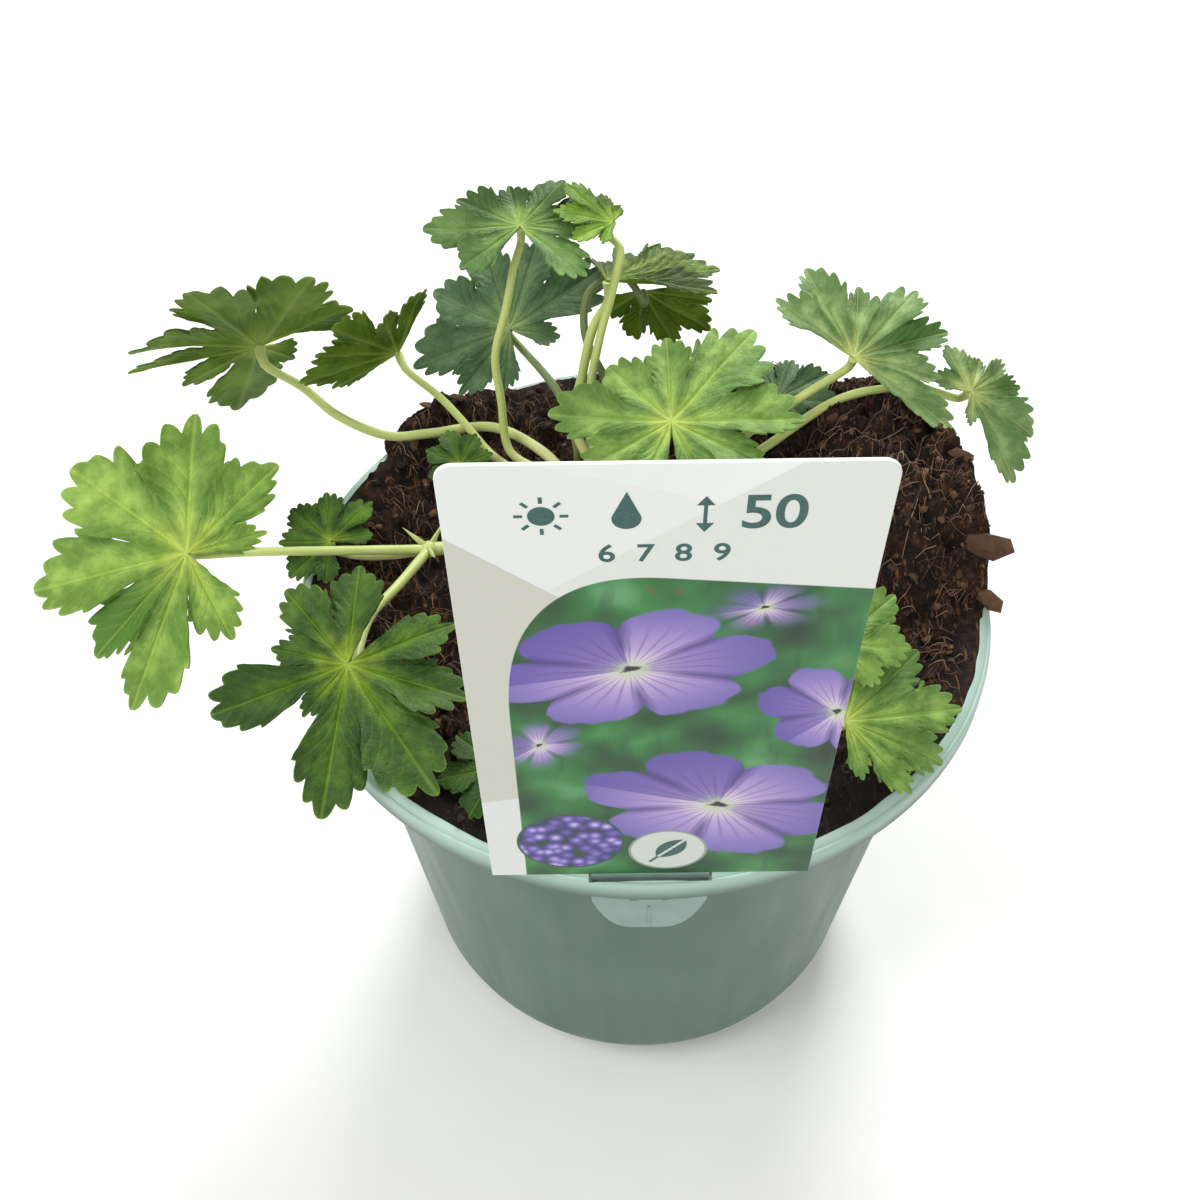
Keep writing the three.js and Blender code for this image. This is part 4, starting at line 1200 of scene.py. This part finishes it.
def leafMaterial(tone):
    # A living leaf under fine hairs: matte, with soft highlights, paler along its veins and towards its hub.
    # Its hairs are really too fine to show, so they are drawn coarser, also underneath and on the stalks.
    dark, light, vein, hub, shade = leafTones[tone]
    material, add, shader = newMaterial(f"downyLeafUpper{tone.title()}")
    place = add("TexCoord", out="Object")
    across, along, outward, reach = leafPlaces(add)
    veins = veinLines(add, place, across, along)
    patches = add("TexNoise", {"Vector": place, "Scale": 1000 / 7.7, "Detail": 5.0, "Roughness": 0.62})
    patches = add("Math", patches, 1.984, -0.837, operation="MULTIPLY_ADD")
    ribbed = add("Math", add("MapRange", across, 0.75, 0.0, **eased),
                 add("MapRange", along, 1.0, 0.2, 0.1, 0.8, **eased), operation="MULTIPLY")
    lightness = add("Math", ribbed, 0.65, patches, operation="MULTIPLY_ADD")
    # Painted shade: lobes turned from the light, and the valleys between lobes, are darkened towards the
    # shade colour.
    dusk = add("Math", add("Attribute", out="Fac", attribute_name="dusk"),
               add("MapRange", reach, 0.05, 0.5, **eased), operation="MULTIPLY")
    paintedValleyShade = add("MapRange", across, 0.5, 0.95, 0.0, 0.6, **eased)  # painted shade in the valley between two lobes
    for start, stop in ((0.8, 0.5), (0.12, 0.4)):
        paintedValleyShade = add("Math", paintedValleyShade, add("MapRange", along, start, stop, **eased), operation="MULTIPLY")
    star = add("TexNoise", {"Vector": place, "Scale": 1000 / 4.17, "Detail": 3.0})
    rays = add("Math", across, 0.08, reach, operation="MULTIPLY_ADD")  # further out along the midribs
    star = add("Math", star, 0.3, rays, operation="MULTIPLY_ADD")
    lightness = add("MapRange", lightness, -0.05, 0.8, **eased)
    colour = add("Mix", {"Factor": lightness, "A": dark, "B": light}, **ofColours)
    for share, over in (
        (add("Math", dusk, paintedValleyShade, operation="MAXIMUM"), shade),
        (add("Math", veins, 0.3, operation="MULTIPLY"), vein),
        (add("MapRange", star, 0.5, 0.14, 0.0, 0.66, **eased), hub),
        (add("MapRange", outward, 0.965, 1.0, 0.0, 0.24, **eased), vein),
    ):
        colour = add("Mix", {"Factor": share, "A": colour, "B": over}, **ofColours)
    hairs = add("TexNoise", {"Vector": place, "Scale": 1000 / 0.385, "Detail": 2.0})
    crinkles = add("TexNoise", {"Vector": place, "Scale": 1000 / 1.67, "Detail": 3.0})
    relief = add("Math", veins, -1.2, hairs, operation="MULTIPLY_ADD")
    relief = add("Math", crinkles, 2.2, relief, operation="MULTIPLY_ADD")
    setSockets(shader, {
        "Base Color": colour,
        "Roughness": 0.5,
        "Specular IOR Level": 0.3,
        "Sheen Weight": 0.05,
        "Sheen Roughness": 0.4,
        "Sheen Tint": "#e4f0c8",
        "Subsurface Weight": 0.08,
        "Subsurface Scale": 1.2 * mm,
        "Subsurface Radius": (0.6, 1.0, 0.25),
        "Normal": add("Bump", {"Strength": 0.55, "Distance": 0.35 * mm, "Height": relief}),
    })
    return material


def leafUnderMaterial():
    # The underside: plain olive where it is turned from the light, with raised pale veins.
    material, add, shader = newMaterial("downyLeafUnderside")
    place = add("TexCoord", out="Object")
    across, along, outward, reach = leafPlaces(add)
    veins = veinLines(add, place, across, along)
    patches = add("TexNoise", {"Vector": place, "Scale": 1000 / 11.1, "Detail": 4.0})
    colour = add("ValToRGB", patches, stops=((0.35, "#45660c"), (0.65, "#6b8a26")))
    for share, over in (
        (add("Math", veins, 0.35, operation="MULTIPLY"), "#8aa040"),
        (add("MapRange", reach, 0.25, 0.05, 0.0, 0.7, **eased), "#9aab4a"),
        (add("MapRange", outward, 0.93, 1.0, 0.0, 0.2, **eased), "#8aa040"),
    ):
        colour = add("Mix", {"Factor": share, "A": colour, "B": over}, **ofColours)
    hairs = add("TexNoise", {"Vector": place, "Scale": 1000 / 0.417, "Detail": 2.0})
    relief = add("Math", veins, 1.5, hairs, operation="MULTIPLY_ADD")
    setSockets(shader, {
        "Base Color": colour,
        "Roughness": 0.62,
        "Specular IOR Level": 0.25,
        "Sheen Weight": 0.04,
        "Sheen Tint": "#dfe8b8",
        "Normal": add("Bump", {"Strength": 0.45, "Distance": 0.3 * mm, "Height": relief}),
    })
    return material


under = leafUnderMaterial()
uppers = {tone: leafMaterial(tone) for tone in leafTones}
for number, leafName in enumerate(leafShapes):
    makeLeaf(leafName, number, [uppers[leafShapes[leafName]["tone"]], under])
print("stage: leaves")


stalk = {"radius": 1.2, "depth": 10, "step": 2.0, "gap": 0.3, "seat": 0.8}  # in mm
stalkRoutes = {
    "back_left": {
        "root": (-20, 39.5), "radius": 1.4,
        "through": (
            (-26, 47, 149), (-41, 56, 151.5), (-59, 52, 153), (-70, 50, 154), (-84, 52, 160),
            (-93, 55, 168),
        ),
    },
    "folded_left": {
        "root": (-32, 38),
        "through": ((-42, 47, 150), (-49, 53, 156), (-55.5, 58, 161)),
    },
    "top": {
        "root": (-27, 41),
        "through": ((-36, 47, 150), (-38, 53, 164), (-39, 57, 176), (-35.5, 62, 188), (-33, 67, 198)),
    },
    "top_small": {
        "root": (-8, 38),
        "through": (
            (-13.5, 47, 156), (-13, 52, 169), (-10, 58.5, 182), (-6.5, 64, 193), (-4.5, 68.5, 202),
        ),
    },
    "dark_back": {"root": (-17, 50), "tone": "shaded", "through": ((-22, 60, 160),)},
    "level_back": {
        "root": (-13, 45), "radius": 1.4,
        "through": ((-18, 52, 156), (-15.5, 57, 168), (-12, 63, 181)),
    },
    "hanging_back": {
        "root": (-2, 46), "tone": "shaded",
        "through": ((-6, 57, 160), (-14.5, 69, 175), (-12.5, 75.5, 184.5), (-3, 78.5, 186.2)),
    },
    "centre_back": {"root": (-7, 30), "through": ((-4, 22, 158), (4, 25, 170))},
    "low_right": {"root": (-2, 34), "tone": "shaded", "through": ((12, 39, 153), (28, 45, 160))},
    "right": {
        "root": (-3, 26), "radius": 1.3,
        "through": ((14, 33, 153), (32, 39, 165), (45, 42, 174)),
    },
    "far_right": {
        "root": (-5, 19), "radius": 1.3,
        "through": ((12, 25, 151), (34, 36, 160), (56, 45.5, 169.5), (75, 46, 172)),
    },
    "front_right": {"root": (-11, 17), "through": ((2, -4, 146), (24, -38, 153))},
    "mid_right": {"root": (-12, 21), "through": ((4, 8, 147), (26, -14, 154))},
    "young_left": {"root": (-31, 33), "radius": 1, "through": ((-40, 34, 150),)},
    "low_front": {"root": (-26, 18), "radius": 1, "through": ((-29, -16, 143), (-33, -44, 144))},
    "inner_left": {"root": (-21, 18), "through": ((-19, 2, 152),)},
    "inner_right": {"root": (-16, 16), "through": ((0, -2, 154),)},
    "inner_front": {"root": (-17, 11), "through": ((-10, -20, 145), (-4, -44, 150))},
}
sprawl = {
    "root": (-31, 25),
    "radius": 1.7,
    "through": ((-38, 17, 146), (-47, 11, 149)),
    "joint": (-56, 8, 151),
    "branches": {
        "far_left": ((-76, 4, 155), (-100, 2, 157)),
        "front_left": ((-62, -7, 154), (-68, -20, 156)),
        "small_left": ((-66, 8, 149), (-75, 8, 149)),
    },
    "scales": ((60, 8), (150, 9), (-70, 8)),
}


def curvePoints(points, step):  # the smooth curve through the points, as the solid model's stalks follow
    points = [Vector(p) for p in points]
    ends = [points[0] * 2 - points[1], *points, points[-1] * 2 - points[-2]]
    made = []
    for i in range(len(points) - 1):
        p0, p1, p2, p3 = ends[i:i + 4]
        d0, d1, d2 = ((b - a).length ** 0.5 for a, b in ((p0, p1), (p1, p2), (p2, p3)))
        t1 = ((p1 - p0) / d0 - (p2 - p0) / (d0 + d1) + (p2 - p1) / d1) * d1
        t2 = ((p2 - p1) / d1 - (p3 - p1) / (d1 + d2) + (p3 - p2) / d2) * d1
        count = max(2, round((p2 - p1).length / step))
        for n in range(count):
            t = n / count
            a, b = 2 * p1 - 2 * p2 + t1 + t2, -3 * p1 + 3 * p2 - 2 * t1 - t2
            made.append(a * t ** 3 + b * t ** 2 + t1 * t + p1)
    return [*made, points[-1]]


def standing(root):
    level = soilHeight(*root)
    return [(*root, level + rise) for rise in (-stalk["depth"], -0.5 * stalk["depth"], 1.5, 4.5)]


def seated(name):
    up, hub = leafTurn(name) @ Vector((0, 0, 1)), Vector(leafShapes[name]["hub"])
    return [hub - up * (stalk["seat"] + 5), hub - up * (stalk["seat"] + stalk["gap"] - 0.25)]


def tubeMesh(routes, name):  # routes of (points, radius at the start, radius at the end), one mesh
    curve = bpy.data.curves.new(name, "CURVE")
    curve.dimensions = "3D"
    curve.bevel_depth = mm
    curve.bevel_resolution = 3
    curve.use_fill_caps = True
    for points, first, last in routes:
        path = curvePoints(points, stalk["step"])
        spline = curve.splines.new("POLY")
        spline.points.add(len(path) - 1)
        for i, spot in enumerate(path):
            share = i / (len(path) - 1)
            spline.points[i].co = (*(spot * mm), 1)
            swell = 0.18 * math.exp(-((1 - share) * len(path) / 1.6) ** 2)
            wander = 0.05 * noise.noise(spot * 0.25)
            spline.points[i].radius = (first + (last - first) * share) * (1 + swell + wander)
    mesh = finalMesh(newObject(name + "Curve", curve))
    for polygon in mesh.polygons:
        polygon.use_smooth = True
    return mesh


stalkTones = {  # from the foot up
    "sunlit": ((0.1, "#a08a5e"), (0.45, "#b6b070"), (0.8, "#ccd288"), (1.0, "#bccc74")),
    "shaded": ((0.1, "#6f6a40"), (0.45, "#737a42"), (0.8, "#7c8a4c"), (1.0, "#74864a")),
}


def stalkMaterial(tone):
    # Fresh leaf stalk: pale yellow-green, faintly ribbed and downy, pinker low down.
    material, add, shader = newMaterial(f"downyLeafStalk{tone.title()}")
    place = add("TexCoord", out="Object")
    foot = add("MapRange", add("SeparateXYZ", place, out="Z"), 0.134, 0.158, 0.0, 0.75, **eased)
    patches = add("TexNoise", {"Vector": place, "Scale": 1000 / 6.67, "Detail": 3.0})
    share = add("Math", patches, 0.5, foot, operation="MULTIPLY_ADD")
    down = add("TexNoise", {"Vector": place, "Scale": 1000 / 0.667, "Detail": 2.0})
    setSockets(shader, {
        "Base Color": add("ValToRGB", share, stops=stalkTones[tone]),
        "Roughness": 0.45,
        "Sheen Weight": 0.3,
        "Sheen Tint": "#eef3dc",
        "Subsurface Weight": 0.15,
        "Subsurface Scale": 2 * mm,
        "Normal": add("Bump", {"Strength": 0.2, "Distance": 0.3 * mm, "Height": down}),
    })
    return material


def addScale(bm, spot, compass, length, lean, width):  # a pointed, flattened scale leaf
    made = bmesh.ops.create_cone(bm, cap_ends=True, segments=10, radius1=width * mm, radius2=0.1 * mm,
                                 depth=length * mm)["verts"]
    bmesh.ops.scale(bm, vec=(1, 0.45, 1), verts=made)
    bmesh.ops.translate(bm, vec=(0, 0, length * mm / 2), verts=made)
    turn = Euler((0, math.radians(lean), math.radians(compass))).to_matrix().to_4x4()
    bmesh.ops.transform(bm, matrix=Matrix.Translation(Vector(spot) * mm) @ turn, verts=made)


def makeStalks():
    materials = {tone: stalkMaterial(tone) for tone in stalkTones}
    for name, route in stalkRoutes.items():
        radius = route.get("radius", stalk["radius"])
        points = [*standing(route["root"]), *route["through"], *seated(name)]
        title = pieceTitle(name, "Stalk")
        mesh = tubeMesh([(points, radius * 1.1, radius * 0.88)], title)
        finishPiece(mesh, title, [materials[route.get("tone", "sunlit")]], [f"stalk_{name}"])

    points = [*standing(sprawl["root"]), *sprawl["through"], sprawl["joint"]]
    routes = [(points, sprawl["radius"], sprawl["radius"])]
    for name, through in sprawl["branches"].items():
        points = [sprawl["joint"], *through, *seated(name)]
        routes.append((points, stalk["radius"] * 1.1, stalk["radius"] * 0.9))
    mesh = tubeMesh(routes, "sprawlingStem")
    bm = bmesh.new()
    bm.from_mesh(mesh)
    knot = Matrix.Translation(Vector(sprawl["joint"]) * mm)
    bmesh.ops.create_icosphere(bm, subdivisions=3, radius=sprawl["radius"] * 1.35 * mm, matrix=knot)
    for compass, length in sprawl["scales"]:
        addScale(bm, sprawl["joint"], compass, length, 62, 1.9)
    mesh = meshOf(bm, "sprawlingStem")
    finishPiece(mesh, "sprawlingStem", [materials["sunlit"]], ["stem_sprawling"])


crown = {"x": -18, "y": 30, "radius": 6, "height": 5, "scales": 7, "spread": 2.6, "turn": 137.5}


def makeRootstock():
    # Woody crown under papery scales: dull brown and rough.
    material, add, shader = newMaterial("woodyRootstock")
    place = add("TexCoord", out="Object")
    bark = add("TexNoise", {"Vector": place, "Scale": 1000 / 2.38, "Detail": 5.0})
    setSockets(shader, {
        "Base Color": add("ValToRGB", bark, stops=(
            (0.3, "#3c2616"), (0.55, "#75502f"), (0.75, "#a98a5c"))),
        "Roughness": 0.85,
        "Normal": add("Bump", {"Strength": 0.6, "Distance": 0.5 * mm, "Height": bark}),
    })
    level = soilHeight(crown["x"], crown["y"])
    bm = bmesh.new()
    made = bmesh.ops.create_icosphere(bm, subdivisions=4, radius=1.0)["verts"]
    for vert in made:
        rough = 1 + 0.12 * noise.noise(vert.co * 2.5)
        vert.co *= rough * mm
    bmesh.ops.scale(bm, vec=(crown["radius"], crown["radius"], crown["height"]), verts=made)
    bmesh.ops.translate(bm, vec=Vector((crown["x"], crown["y"], level)) * mm, verts=made)
    for scale in range(crown["scales"]):
        compass = scale * crown["turn"]
        out = Matrix.Rotation(math.radians(compass), 2) @ Vector((crown["spread"], 0))
        foot = (crown["x"] + out.x, crown["y"] + out.y, level + 1.5)
        addScale(bm, foot, compass, 8 + 3 * chance(9, scale), 15 + 25 * chance(7, scale), 2.2)
    finishPiece(meshOf(bm, "scalyRootstock"), "scalyRootstock", [material], ["rootstock"])


makeStalks()
makeRootstock()
print("stage: stalks and rootstock")
